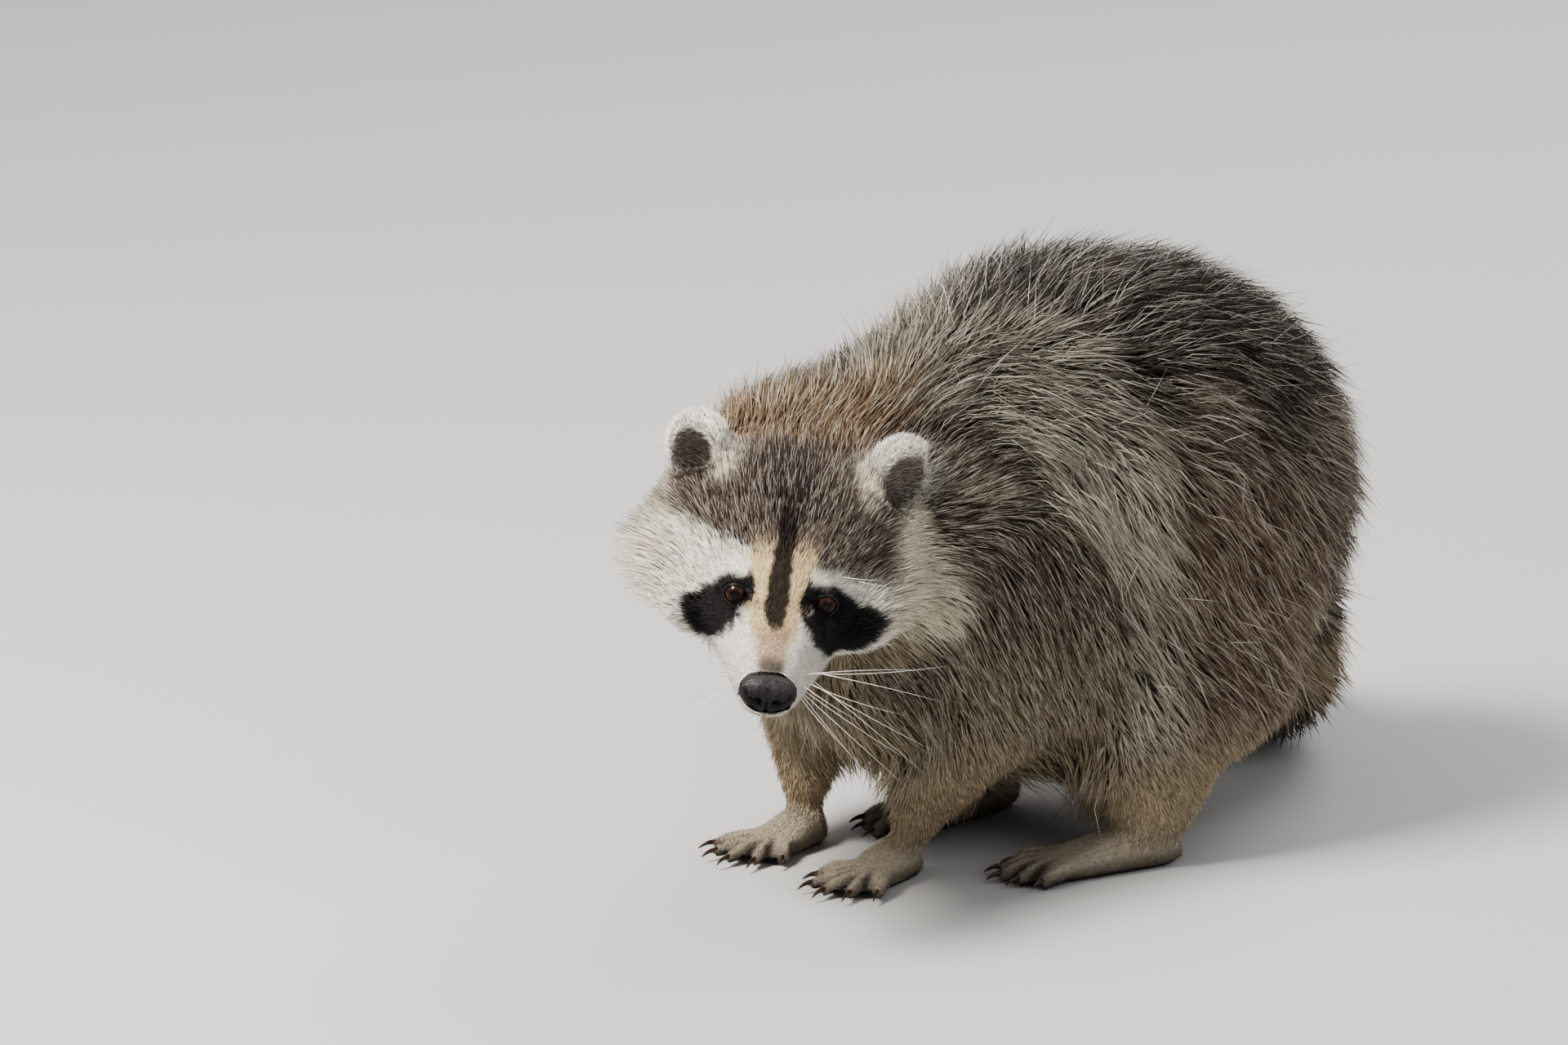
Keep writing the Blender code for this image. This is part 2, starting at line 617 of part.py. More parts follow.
def add_head_parts(parting):
    """Ears, eyes and nose, each in a pocket of the body, and the jaw below the mouth line."""
    head = head_frame()
    for side, hand in ((1, "left"), (-1, "right")):
        frame = ear_frame(side)
        ear = ball("ear_" + hand, (0, 0, 0), [r * CM for r in EAR_RADII], parting.animal, frame)
        hollow = ball(
            f"ear_{hand}_hollow",
            Vector(EAR_HOLLOW_AT) * CM,
            [r * CM for r in EAR_HOLLOW],
            parting.cutters,
            frame,
        )
        boolean(ear, helper(hollow), "DIFFERENCE")
        around = [r * CM + GAP for r in EAR_RADII]
        pocket = ball(f"ear_{hand}_pocket", (0, 0, 0), around, parting.cutters, frame)
        boolean(parting.body, helper(pocket), "DIFFERENCE")
        parting.parts[ear.name] = (ear, "ear_fur")

        turn = Matrix.Rotation(math.radians(EYE_TURN * side), 4, "Z")
        frame = head @ Matrix.Translation(Vector((side * EYE_SPREAD, EYE_DEEP, EYE_UP)) * CM) @ turn
        round_eye = [EYE_RADIUS * CM] * 3
        eye = ball("eye_" + hand, (0, 0, 0), round_eye, parting.animal, frame)
        socket = ball(
            f"eye_{hand}_socket",
            (0, 0, 0),
            [r + GAP for r in round_eye],
            parting.cutters,
            frame,
        )
        boolean(parting.body, helper(socket), "DIFFERENCE")
        opening = ball(
            f"eye_{hand}_opening",
            Vector(EYE_OPENING_AT) * CM,
            [r * CM for r in EYE_OPENING],
            parting.cutters,
            frame,
            SMALL_BALL_SIDES,
        )
        boolean(parting.body, helper(opening), "DIFFERENCE")
        parting.parts[eye.name] = (eye, "eye_gloss")

    nose = ball("nose", Vector(NOSE_AT) * CM, [r * CM for r in NOSE_RADII], parting.animal, head)
    around = [r * CM + GAP for r in NOSE_RADII]
    pocket = ball("nose_pocket", Vector(NOSE_AT) * CM, around, parting.cutters, head)
    boolean(parting.body, helper(pocket), "DIFFERENCE")
    for side in (1, -1):
        centre = (Vector(NOSE_AT) + Vector((side * NOSTRIL_AT[0], *NOSTRIL_AT[1:]))) * CM
        nostril = ball(
            "nostril_cutter", centre, [r * CM for r in NOSTRIL_RADII], parting.cutters, head,
            SMALL_BALL_SIDES,
        )
        boolean(nose, helper(nostril), "DIFFERENCE")
    parting.parts["nose"] = (nose, "nose_leather")


def part_body(parting):
    """The cuts, from the outermost parts inward; what is left is the back of the trunk."""
    add_paws(parting)
    for leg, sections in LEGS.items():
        parting.take_leg(leg, "pelt_grizzled", sections[SHANK_START:], HAUNCHES[leg])
    for name, face, inward, depth, reach in TAIL_CUTS:
        parting.take_block(name, "pelt_ringed", face, inward, depth, reach)
    add_head_parts(parting)
    head = head_frame()
    for name, (face, inward, depth, reach) in (("jaw", JAW_CUT), ("head", HEAD_CUT)):
        face = head @ (Vector(face) * CM) / CM
        inward = head.to_3x3() @ Vector(inward)
        parting.take_block(name, "pelt_face", face, inward, depth, reach)
    parting.take_block("neck", "pelt_grizzled", *NECK_CUT)
    parting.take_block("trunk_front", "pelt_grizzled", *TRUNK_CUT)
    parting.keep(parting.body, "trunk_rear", "pelt_grizzled")


def stand_at_origin(parts, animal):
    """Moves everything together, so that the origin is under the middle of the whole box."""
    corners = [v.co for part, _ in parts.values() for v in part.data.vertices]
    low = Vector([min(c[i] for c in corners) for i in range(3)])
    high = Vector([max(c[i] for c in corners) for i in range(3)])
    stance = object_of("stance", None, animal)
    stance.location = (-(low.x + high.x) / 2, -(low.y + high.y) / 2, -low.z)
    for part, _ in parts.values():
        part.parent = stance


def main():
    clear_scene()
    animal = collection("Raccoon")
    cutters = collection("Cutters")
    body = build_flesh(animal)
    level_soles(body, cutters)
    parting = Parting(body, animal, cutters)
    part_body(parting)
    for part, slot in parting.parts.values():
        finish(part, slot)
    stand_at_origin(parting.parts, animal)


main()
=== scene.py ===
"""The looks of a still, life-size raccoon: skin, coat, eyes, nose, whiskers, floor and lights.

Lengths are in metres in the row frame, and in centimetres in the head's own frame, whose
origin lies between the eyes, with -Y forward, +X to the animal's left and +Z up.
"""

import math
from collections import namedtuple
from types import SimpleNamespace

import bmesh
import bpy
import numpy as np
from mathutils import Matrix, Vector
from mathutils.bvhtree import BVHTree
from mathutils.kdtree import KDTree


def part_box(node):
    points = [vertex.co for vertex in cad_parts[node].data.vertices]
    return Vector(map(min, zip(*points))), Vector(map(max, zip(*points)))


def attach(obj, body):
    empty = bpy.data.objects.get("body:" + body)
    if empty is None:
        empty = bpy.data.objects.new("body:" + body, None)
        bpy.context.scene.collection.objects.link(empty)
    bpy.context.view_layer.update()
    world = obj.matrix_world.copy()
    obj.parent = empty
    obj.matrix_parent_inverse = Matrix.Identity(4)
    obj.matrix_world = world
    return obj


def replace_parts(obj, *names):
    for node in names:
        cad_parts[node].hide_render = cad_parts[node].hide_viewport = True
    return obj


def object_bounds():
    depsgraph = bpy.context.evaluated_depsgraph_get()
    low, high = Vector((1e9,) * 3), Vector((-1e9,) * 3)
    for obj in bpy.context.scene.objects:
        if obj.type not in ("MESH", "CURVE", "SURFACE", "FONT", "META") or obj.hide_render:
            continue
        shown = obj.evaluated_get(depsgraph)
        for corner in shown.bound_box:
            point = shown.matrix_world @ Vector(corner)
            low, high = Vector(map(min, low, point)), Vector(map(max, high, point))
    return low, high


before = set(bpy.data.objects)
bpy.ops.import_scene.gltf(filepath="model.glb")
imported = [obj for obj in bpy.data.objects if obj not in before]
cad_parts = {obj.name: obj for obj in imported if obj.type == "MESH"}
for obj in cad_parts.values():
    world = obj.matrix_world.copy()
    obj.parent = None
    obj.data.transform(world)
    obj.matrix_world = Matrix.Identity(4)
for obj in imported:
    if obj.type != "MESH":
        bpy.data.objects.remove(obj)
CAD_BOX = [list(corner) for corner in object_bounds()]
CM2 = 1e4  # in a square metre

# ---------------- places

HEAD_TURN, HEAD_NOD, HEAD_ROLL = 52, 13, 8  # degrees
EYES_IN_HEAD, EYE_ASIDE = np.array((0, -0.3, 0.25)), 2.05
HEAD_AT = np.array((3.4, -5.4, 16.7))  # cm, from the toes of the left forefoot
NOSE_IN_HEAD, NOSE_BARE = np.array((-0.25, -5.05, -2.3)), (1.42, 1.05, 1.02)  # and its bare radii
TAIL_LINE = np.array(  # cm, from the toes of the left forefoot
    (
        (-3.6, 26.0, 12.4), (-3.3, 30.2, 9.6), (-4.2, 31.8, 6.0), (-6.9, 33.8, 4.2), (-10.8, 35.4, 3.8),
        (-15.0, 36.0, 3.7), (-19.2, 35.2, 3.6), (-22.8, 33.0, 3.3), (-25.2, 30.4, 2.9), (-26.4, 28.4, 2.6),
    )
)
FLESH = (
    "head jaw neck trunk_front trunk_rear foreleg_left foreleg_right hindleg_left "
    "hindleg_right forefoot_left forefoot_right hindfoot_left hindfoot_right tail_root "
    "tail_middle tail_tip ear_left ear_right"
).split()
REGIONS = ("face", "neck", "trunk", "foreleg", "hindleg", "foot", "tail", "ear")
FACE, NECK, TRUNK, FORELEG, HINDLEG, FOOT, TAIL, EAR = range(len(REGIONS))


def region_of(node):
    """The number of a node's region; the head and jaw are the face."""
    return next((number for number, region in enumerate(REGIONS) if region in node), FACE)


def middle(node):
    low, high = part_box(node)
    return np.array((low + high) / 2)


def turn_matrix(*turns):
    """The product of rotations, each an angle in degrees and an axis."""
    matrix = Matrix.Identity(3)
    for angle, axis in turns:
        matrix = matrix @ Matrix.Rotation(math.radians(angle), 3, axis)
    return np.array(matrix)


HEAD_TURNED = turn_matrix((HEAD_TURN, "Z"), (HEAD_NOD, "X"), (HEAD_ROLL, "Y"))
HEAD_ORIGIN = (middle("eye_left") + middle("eye_right")) / 2 - HEAD_TURNED @ EYES_IN_HEAD / 100
STANCE = HEAD_ORIGIN - HEAD_AT / 100


def to_head(points):
    return (points - HEAD_ORIGIN) @ HEAD_TURNED * 100


def from_head(points):
    return HEAD_ORIGIN + np.asarray(points, float) @ HEAD_TURNED.T / 100


# ---------------- small tools


def unit(vectors):
    return vectors / np.maximum(np.linalg.norm(vectors, axis=-1, keepdims=True), 1e-12)


def step(value, low, high):
    """0 below low, 1 above high, and smooth between."""
    t = np.clip((value - low) / (high - low), 0, 1)
    return t * t * (3 - 2 * t)


def mix(a, b, share):
    """Blend of two colours, or of two arrays of them."""
    share = np.asarray(share, float)[..., None]
    return np.asarray(a) * (1 - share) + np.asarray(b) * share


def along(value, knots):
    """A value interpolated along a short table of pairs."""
    table = np.array(knots, float)
    return np.interp(value, table[:, 0], table[:, 1])


def until(value, low, high):
    """1 below low, 0 above high, and smooth between."""
    return 1 - step(value, low, high)


def gap_to(points, place, size=1.0):
    """How far each point is from a place, in sizes that may differ along the axes."""
    return np.linalg.norm((points - np.asarray(place)) / np.asarray(size), axis=1)


def toward(azimuth, elevation):
    """A unit way from angles in degrees: 0, 0 is -Y, and the azimuth grows towards +X."""
    a, e = math.radians(azimuth), math.radians(elevation)
    return np.array((math.sin(a) * math.cos(e), -math.cos(a) * math.cos(e), math.sin(e)))


def srgb(*parts):
    """A colour given as 0 to 255, in the linear values that Blender mixes."""
    c = np.array(parts, float) / 255
    return np.where(c <= 0.04045, c / 12.92, ((c + 0.055) / 1.055) ** 2.4)


def waves(points, size, seed, count=7):
    """Smooth noise of about -1 to 1, whose bumps are about size across."""
    rng = np.random.default_rng(seed)
    ways = unit(rng.normal(size=(count, 3))) * (2 * np.pi / size) * rng.uniform(0.5, 1.1, (count, 1))
    phases = rng.uniform(0, 2 * np.pi, count)
    return np.sin(points @ ways.T + phases).sum(axis=1) / math.sqrt(count) * 0.9


def link(obj):
    bpy.context.scene.collection.objects.link(obj)
    return obj


def mesh_of(name, points, faces, colours=None, uvs=None):
    """A smooth mesh from arrays, with a colour and an OFBake place for each of its points."""
    mesh = bpy.data.meshes.new(name)
    mesh.vertices.add(len(points))
    mesh.vertices.foreach_set("co", np.ascontiguousarray(points, np.float32).ravel())
    size = faces.shape[1]
    mesh.loops.add(faces.size)
    mesh.loops.foreach_set("vertex_index", np.ascontiguousarray(faces, np.int32).ravel())
    mesh.polygons.add(len(faces))
    mesh.polygons.foreach_set("loop_start", np.arange(0, faces.size, size, dtype=np.int32))
    mesh.polygons.foreach_set("loop_total", np.full(len(faces), size, np.int32))
    mesh.update(calc_edges=True)
    mesh.shade_smooth()
    if colours is not None:
        layer = mesh.color_attributes.new("Marking", "FLOAT_COLOR", "POINT")
        rgba = np.concatenate([colours, np.ones((len(points), 1))], axis=1)
        layer.data.foreach_set("color", rgba.astype(np.float32).ravel())
    if uvs is not None:
        layer = mesh.uv_layers.new(name="OFBake")
        layer.data.foreach_set("uv", uvs[faces.ravel()].astype(np.float32).ravel())
    return mesh


def mesh_from(name, shape):
    """A mesh from a bmesh, which goes."""
    mesh = bpy.data.meshes.new(name)
    shape.to_mesh(mesh)
    shape.free()
    return mesh


def piece(name, material, slot, shape, *more):
    """An object that rides with the raccoon, from its mesh or mesh_of's arrays; the finish's slot is not
    used.
    """
    mesh = mesh_of(name, shape, *more) if more else shape
    made = link(bpy.data.objects.new(name, mesh))
    mesh.materials.append(material)
    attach(made, "root")
    return made


# ---------------- ears

EAR_SPREAD, EAR_BACK, EAR_UP = 4.5, 6.9, 3.2  # cm in the head's frame
EAR_LEAN, EAR_OPEN, EAR_TIP_BACK = 20, 26, -8  # degrees
EAR_ACROSS = 0.4  # both ears, towards the animal's left, with the tilt of the head
EAR_HOLLOW_AT, EAR_HOLLOW_SIZE = (0.3, 0.3), (1.08, 1.72)
EAR_SHRINK, EAR_FOOT = 0.95, (0, 0.1, -1.6)  # towards a place in the ear's frame, in cm
EAR_FOOT_THIN = 0.66  # how much thinner the coat is round it
EAR_CREASE, EAR_CREASE_TURNS = 0.62, 14  # of the smoothing where the ear leaves the head


class Ear:
    """One ear's frame, in cm: X to the animal's left, -Y out of the cup, Z to the tip."""

    def __init__(self, side):
        self.side = side
        turned = turn_matrix((EAR_LEAN * side, "Y"), (EAR_OPEN * side, "Z"), (EAR_TIP_BACK, "X"))
        self.turned = HEAD_TURNED @ turned
        self.middle = from_head((side * EAR_SPREAD + EAR_ACROSS, EAR_BACK, EAR_UP))

    def local(self, points):
        return (points - self.middle) @ self.turned * 100


EARS = (Ear(1), Ear(-1))


def by_nearer_ear(points, value):
    """For each point, its row of what value gives for the ear nearer to it."""
    nearer = np.argmin([gap_to(points, ear.middle) for ear in EARS], axis=0)
    both = np.stack([np.broadcast_to(value(ear), points.shape) for ear in EARS])
    return both[nearer, np.arange(len(points))]


def ear_places(points):
    """Each point in the frame of the nearer ear, with X counted away from the head's middle."""
    return by_nearer_ear(points, lambda ear: ear.local(points) * (ear.side, 1, 1))


def ear_feet(points):
    """The foot of the nearer ear, for each point."""
    return by_nearer_ear(points, lambda ear: ear.middle + ear.turned @ np.array(EAR_FOOT) / 100)


EAR_BRUSH_AT, EAR_BRUSH_SIZE = (0.1, -1.1, -2.1), (2.2, 1.5, 1.2)
EAR_RIM_FEET = (  # the place and size of the patch at each end of the rim
    ((-1.75, -0.5, -0.9), (1.15, 1.7, 1.9)),
    ((1.2, -0.8, -1.7), (1.15, 1.5, 1.4)),
)


def ear_hollow(e):
    """Below 1 inside the dark hollow of the cup, for places from ear_places."""
    (x, z), (wide, high) = EAR_HOLLOW_AT, EAR_HOLLOW_SIZE
    return np.hypot((e[:, 0] - x) / wide, (e[:, 2] - z) / high)


def ear_lie(points):
    """From the bottom of each cup over its rim, up the back to the tip, and across the hollow."""

    def way(ear):
        e = ear.local(points)
        out = unit(np.stack([e[:, 0] * 0.8, np.full(len(e), -0.5), e[:, 2] + 1.6], axis=1))
        inner = until(ear_hollow(e * (ear.side, 1, 1)), 0.85, 1.15) * until(e[:, 1], 0.3, 0.8)
        sweep = np.array((0.9 * ear.side, -0.6, 0.7))
        return unit(out * (1 - inner)[:, None] + sweep * inner[:, None]) @ ear.turned.T

    return by_nearer_ear(points, way)


# ---------------- skin

SKIN_VOXEL, SEAM_OVERLAP = 0.0019, 0.0009
THIN_SHARE = 0.36  # of the skin's triangles that stay, mostly on the head and feet
FEET = ("forefoot_left", "forefoot_right", "hindfoot_left", "hindfoot_right")
CLAWS = [f"claw_{foot}_{i}" for foot in FEET for i in range(1, 6)]
TOE_END = (0.0031, 0.0031, 0.0032)  # of the flesh that closes round each claw's root
TOE_END_BACK, CLAW_ROOT_LONG = 0.0012, 0.002


def claw_root(claw):
    """Where a claw leaves its toe."""
    points = np.array([v.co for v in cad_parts[claw].data.vertices])
    heel = middle(claw[len("claw_"):-len("_1")])
    back = unit((heel - points.mean(axis=0)) * (1, 1, 0))
    reach = points @ back
    root = points[reach > reach.max() - CLAW_ROOT_LONG].mean(axis=0)
    return root - back * TOE_END_BACK


def joined_flesh():
    """All the flesh as one mesh, each piece a little larger so that the thin cuts close."""
    joined = bmesh.new()
    for node in FLESH:
        part = bmesh.new()
        part.from_mesh(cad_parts[node].data)
        bmesh.ops.remove_doubles(part, verts=part.verts, dist=1e-6)
        bmesh.ops.recalc_face_normals(part, faces=part.faces)
        part.normal_update()
        for vert in part.verts:
            vert.co += vert.normal * SEAM_OVERLAP
        shape = mesh_from(node + "_shape", part)
        joined.from_mesh(shape)
        bpy.data.meshes.remove(shape)
    for claw in CLAWS:
        around = Matrix.Translation(Vector(claw_root(claw))) @ Matrix.Diagonal((*TOE_END, 1))
        bmesh.ops.create_icosphere(joined, subdivisions=2, radius=1, matrix=around)
    return mesh_from("flesh", joined)


def modified(holder, kind, **settings):
    """The mesh that one modifier makes of an object, and its points. The object goes."""
    modifier = holder.modifiers.new(kind, kind)
    for name, value in settings.items():
        setattr(modifier, name, value)
    bpy.context.view_layer.update()
    graph = bpy.context.evaluated_depsgraph_get()
    made = bpy.data.meshes.new_from_object(holder.evaluated_get(graph))
    bpy.data.objects.remove(holder)
    points = np.empty(len(made.vertices) * 3)
    made.vertices.foreach_get("co", points)
    return made, points.reshape(-1, 3)


def remeshed(mesh, voxel):
    """Points and quads of the mesh's outer surface."""
    holder = link(bpy.data.objects.new("remesh", mesh))
    made, points = modified(holder, "REMESH", mode="VOXEL", voxel_size=voxel)
    quads = np.empty(len(made.polygons) * 4, np.int64)
    made.polygons.foreach_get("vertices", quads)
    return points, quads.reshape(-1, 4)


class Surface:
    """A closed mesh of quads as arrays, with its normals and a way to smooth values over it."""

    def __init__(self, points, quads):
        self.points, self.quads = points, quads
        ends = np.concatenate([quads[:, [i, (i + 1) % 4]] for i in range(4)])
        self.ends = np.unique(np.sort(ends, axis=1), axis=0)
        self.degree = np.bincount(self.ends.ravel(), minlength=len(points))[:, None]

    def smooth(self, values, times, weight=1.0):
        values = values.reshape(len(self.points), -1).copy()
        a, b = self.ends.T
        for _ in range(times):
            mean = np.empty_like(values)
            for k in range(values.shape[1]):
                near = np.bincount(a, values[b, k], len(values))
                mean[:, k] = near + np.bincount(b, values[a, k], len(values))
            values += (mean / self.degree - values) * weight
        return values

    def normals(self):
        corner = self.points[self.quads]
        across = np.cross(corner[:, 2] - corner[:, 0], corner[:, 3] - corner[:, 1])
        total = np.zeros_like(self.points)
        for k in range(3):
            for j in range(4):
                total[:, k] += np.bincount(self.quads[:, j], across[:, k], len(total))
        return unit(total)


def thinned(skin, colours):
    """The skin as triangles, coarser where the coat hides it, with its colours."""
    mesh = mesh_of("thin", skin.points, skin.quads)
    holder = link(bpy.data.objects.new("thin", mesh))
    group = holder.vertex_groups.new(name="thin")
    fine = skin.weights[:, [FACE, FOOT, EAR]].sum(axis=1) * step(-skin.depth, -0.012, -0.006)
    fine = np.maximum(fine, 0.02)
    for level in range(1, 11):
        rows = np.flatnonzero(np.ceil((1 - fine) * 10) == level)
        group.add(rows.tolist(), level / 10, "REPLACE")
    made, points = modified(holder, "DECIMATE", ratio=THIN_SHARE, vertex_group="thin")
    made.calc_loop_triangles()
    faces = np.empty(len(made.loop_triangles) * 3, np.int64)
    made.loop_triangles.foreach_get("vertices", faces)
    return mesh_of("raccoon_skin", points, faces.reshape(-1, 3), colours[nearest_in(skin.tree, points)])


def nearest_node(points):
    """The flesh node nearest to each point, as its number in FLESH."""
    corners, faces, owner = [], [], []
    for number, node in enumerate(FLESH):
        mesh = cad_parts[node].data
        mesh.calc_loop_triangles()
        base = len(corners)
        corners.extend(v.co.copy() for v in mesh.vertices)
        faces.extend([base + i for i in tri.vertices] for tri in mesh.loop_triangles)
        owner.extend([number] * len(mesh.loop_triangles))
    tree = BVHTree.FromPolygons(corners, faces)
    found = [tree.find_nearest(Vector(p))[2] for p in points]
    return np.array(owner)[found]


DEPTH = (0, 17, 20, 11, 16, 1.2, 18, 0.9)  # mm of coat over each region but the face


def head_depth(q):
    """mm of coat over each place of the head."""
    x, y, z = np.abs(q[:, 0]), q[:, 1], q[:, 2]
    depth = along(y, ((-5.6, 1.4), (-3, 2.2), (-1, 3.0), (1, 4.5), (4, 7.5), (8, 11), (11, 15)))
    cheek = step(x, 3.4, 5.6) * step(y, -0.5, 2.5)
    depth = depth + (12 - depth) * cheek * step(-z, -3.2, -0.2)
    throat = step(-z, 3.0, 4.6) * step(y, -2.0, 2.0)
    depth = depth + (11 - depth) * throat * (1 - cheek)
    eye = np.minimum(*[gap_to(q, (x, *EYES_IN_HEAD[1:])) for x in (-EYE_ASIDE, EYE_ASIDE)])
    ear = gap_to(ear_places(from_head(q)), EAR_FOOT)
    depth = depth * (1 - EAR_FOOT_THIN * until(ear, 2.0, 4.2))
    return depth * (0.45 + 0.55 * step(eye, 0.7, 1.7))


def coat_depth(points, owner):
    """Metres of coat over each point, before it is smoothed."""
    depth = head_depth(to_head(points))
    height = points[:, 2]
    for number, node in enumerate(FLESH):
        region = region_of(node)
        here = owner == number
        top = DEPTH[region]
        if region in (FORELEG, HINDLEG):
            depth[here] = along(height[here], ((0.012, 2.0), (0.035, 3.6), (0.09, top * 0.75), (0.15, top)))
        elif region == FOOT:
            depth[here] = along(height[here], ((0.008, 1.0), (0.016, 1.5), (0.028, 2.6)))
        elif region != FACE:
            depth[here] = top
    return depth / 1000


SOLE_AT, FOOT_TOP = 0.0004, 0.03
TOE_GROOVE_DEEP, TOE_GROOVE_WIDE, TOE_GROOVE_LONG = 0.0026, 0.0017, 0.03


def toe_grooves(points):
    """1 in the middle of each groove between two toes, falling to 0 beside it and behind it."""
    groove = np.zeros(len(points))
    for foot in FEET:
        heel = middle(foot)
        claws = [middle(claw) for claw in CLAWS if foot in claw]
        for one, other in zip(claws, claws[1:]):
            start = (one + other) / 2
            way = unit((heel - start) * (1, 1, 0))
            from_start = (points - start) * (1, 1, 0)
            behind = from_start @ way
            aside = np.linalg.norm(from_start - behind[:, None] * way, axis=1)
            here = np.exp(-((aside / TOE_GROOVE_WIDE) ** 2)) * (behind > -0.012)
            here = here * until(behind, 0.3 * TOE_GROOVE_LONG, TOE_GROOVE_LONG)
            groove = np.maximum(groove, here)
    return groove * (points[:, 2] < FOOT_TOP)


def press_soles(surface, firm):
    """Lays the feet flat on the floor and parts their toes."""
    on_top = step(surface.normals()[:, 2], -0.2, 0.4)
    is_foot = step(firm, 0.2, 0.7)
    deep = toe_grooves(surface.points) * on_top * is_foot * TOE_GROOVE_DEEP
    surface.points[:, 2] -= surface.smooth(deep, 1)[:, 0]
    z = surface.points[:, 2]
    lower = 0.001 * is_foot * until(z, 0.002, 0.008)
    surface.points[:, 2] = np.maximum(z - lower, np.where(firm > 0.3, SOLE_AT, z - 1))


INSET_STEPS = 10


def inset_flesh():
    """The flesh nodes' outline, inset by the coat's depth, with each point's regions and depth."""
    surface = Surface(*remeshed(joined_flesh(), SKIN_VOXEL))
    owner = nearest_node(surface.points)
    depth = surface.smooth(coat_depth(surface.points, owner), 30)
    weights = np.eye(len(REGIONS))[np.array([region_of(n) for n in FLESH])[owner]]
    firm = surface.smooth(weights[:, FOOT] + weights[:, EAR], 4)
    weights = surface.smooth(weights, 14)
    surface.points = surface.smooth(surface.points, 3, 0.5)
    soft = np.clip(depth / 0.02, 0.12, 1) * (1 - firm * 0.85)
    for _ in range(INSET_STEPS):
        surface.points = surface.points - surface.normals() * depth / INSET_STEPS
        surface.points = surface.smooth(surface.points, 3, soft * 0.6)
    press_soles(surface, firm[:, 0])
    ear = weights[:, [EAR]]
    foot = ear_feet(surface.points)
    surface.points += (foot - surface.points) * (1 - EAR_SHRINK) * step(ear, 0.1, 0.7)
    crease = step(ear, 0.04, 0.14) * until(ear, EAR_CREASE - 0.15, EAR_CREASE + 0.15)
    surface.points = surface.smooth(surface.points, EAR_CREASE_TURNS, crease * 0.8)
    surface.weights, surface.depth = weights, depth[:, 0]
    return surface


# ---------------- eyes

EYE_RADIUS, EYE_REACH = 0.0066, 0.021
EYE_GAZE_OUT, EYE_GAZE_UP = 14, 12  # degrees from straight ahead
OPENING_WIDE, OPENING_HIGH = 0.0050, 0.0044
OPENING_TILT = 12  # degrees, its outer corner up
LID_WIDTH, LID_THICK = 0.0013, 0.0004
IRIS, PUPIL = 42, 22  # degrees from the eye's axis
CORNEA = 0.0005  # how far it stands out
EYE_BLACK = srgb(14, 11, 10)
IRIS_BROWN, IRIS_PALE = srgb(42, 23, 14), srgb(84, 49, 29)
# The second lid colour is a painted glint of light along the lower lid's wet edge.
LID_BLACK, LID_PAINTED_GLINT = srgb(15, 13, 13), srgb(96, 82, 78)


class Eye:
    """One eyeball's place and its axes: outward across it, up, and the way it looks."""

    def __init__(self, hand):
        self.hand = hand
        self.side = 1 if hand == "left" else -1
        self.middle = middle("eye_" + hand)
        self.look = HEAD_TURNED @ toward(self.side * EYE_GAZE_OUT, EYE_GAZE_UP)
        above = HEAD_TURNED @ np.array((0, 0, 1.0))
        self.up = unit(above - self.look * (above @ self.look))
        self.out = np.cross(self.up, self.look) * -self.side

    def polar(self, points):
        """Distance, angle from the axis and angle round it, for each point."""
        from_eye = points - self.middle
        distance = np.maximum(np.linalg.norm(from_eye, axis=-1), 1e-9)
        off = np.arccos(np.clip(from_eye @ self.look / distance, -1, 1))
        return distance, off, np.arctan2(from_eye @ self.up, from_eye @ self.out)

    def place(self, distance, off, round_it):
        """Points at a distance, an angle from the axis and an angle round it."""
        across = np.cos(round_it)[..., None] * self.out + np.sin(round_it)[..., None] * self.up
        way = np.cos(off)[..., None] * self.look + np.sin(off)[..., None] * across
        return self.middle + distance[..., None] * way


EYES = (Eye("left"), Eye("right"))


def lid_edge(round_it):
    """The lids' edge as an angle from the eye's axis: an almond, pointed at its corners."""
    turned = round_it - math.radians(OPENING_TILT)
    wide = OPENING_WIDE * (1 + 0.1 * np.abs(np.cos(turned)) ** 5 - 0.03 * np.cos(turned))
    high = OPENING_HIGH * (1 - 0.06 * np.sin(turned))
    reach = wide * high / np.hypot(high * np.cos(turned), wide * np.sin(turned))
    return np.arcsin(np.clip(reach / EYE_RADIUS, 0, 0.95))


def sink_eyes(surface):
    """Opens the skin over each eyeball, and lays it close round the lids."""
    for eye in EYES:
        distance, off, round_it = eye.polar(surface.points)
        beyond = np.degrees(off - lid_edge(round_it))
        near = distance < EYE_REACH
        hole = near & (beyond < 3)
        rim = near * step(beyond, 3, 7) * until(beyond, 18, 52)
        rim = rim * until(distance, EYE_RADIUS + 0.002, EYE_RADIUS + 0.007)
        target = np.where(hole, EYE_RADIUS - 0.002, EYE_RADIUS + 0.0006)
        share = np.where(hole, 1.0, rim)
        moved = distance + (target - distance) * share
        surface.points = eye.middle + (surface.points - eye.middle) * (moved / distance)[:, None]


def grid_faces(rows, columns):
    """Quads between rows of a sheet that closes round on itself."""
    row, column = np.meshgrid(np.arange(rows - 1), np.arange(columns), indexing="ij")
    beside = (column + 1) % columns
    corners = ((row, column), (row, beside), (row + 1, beside), (row + 1, column))
    return np.stack([(r * columns + c).ravel() for r, c in corners], axis=1)


def ball_angles(rows, columns, gap):
    """Angles off an axis and round it, over a ball without a small gap at either end."""
    off = np.linspace(gap, math.pi - gap, rows)
    round_it = np.linspace(0, 2 * math.pi, columns, endpoint=False)
    return np.meshgrid(off, round_it, indexing="ij")


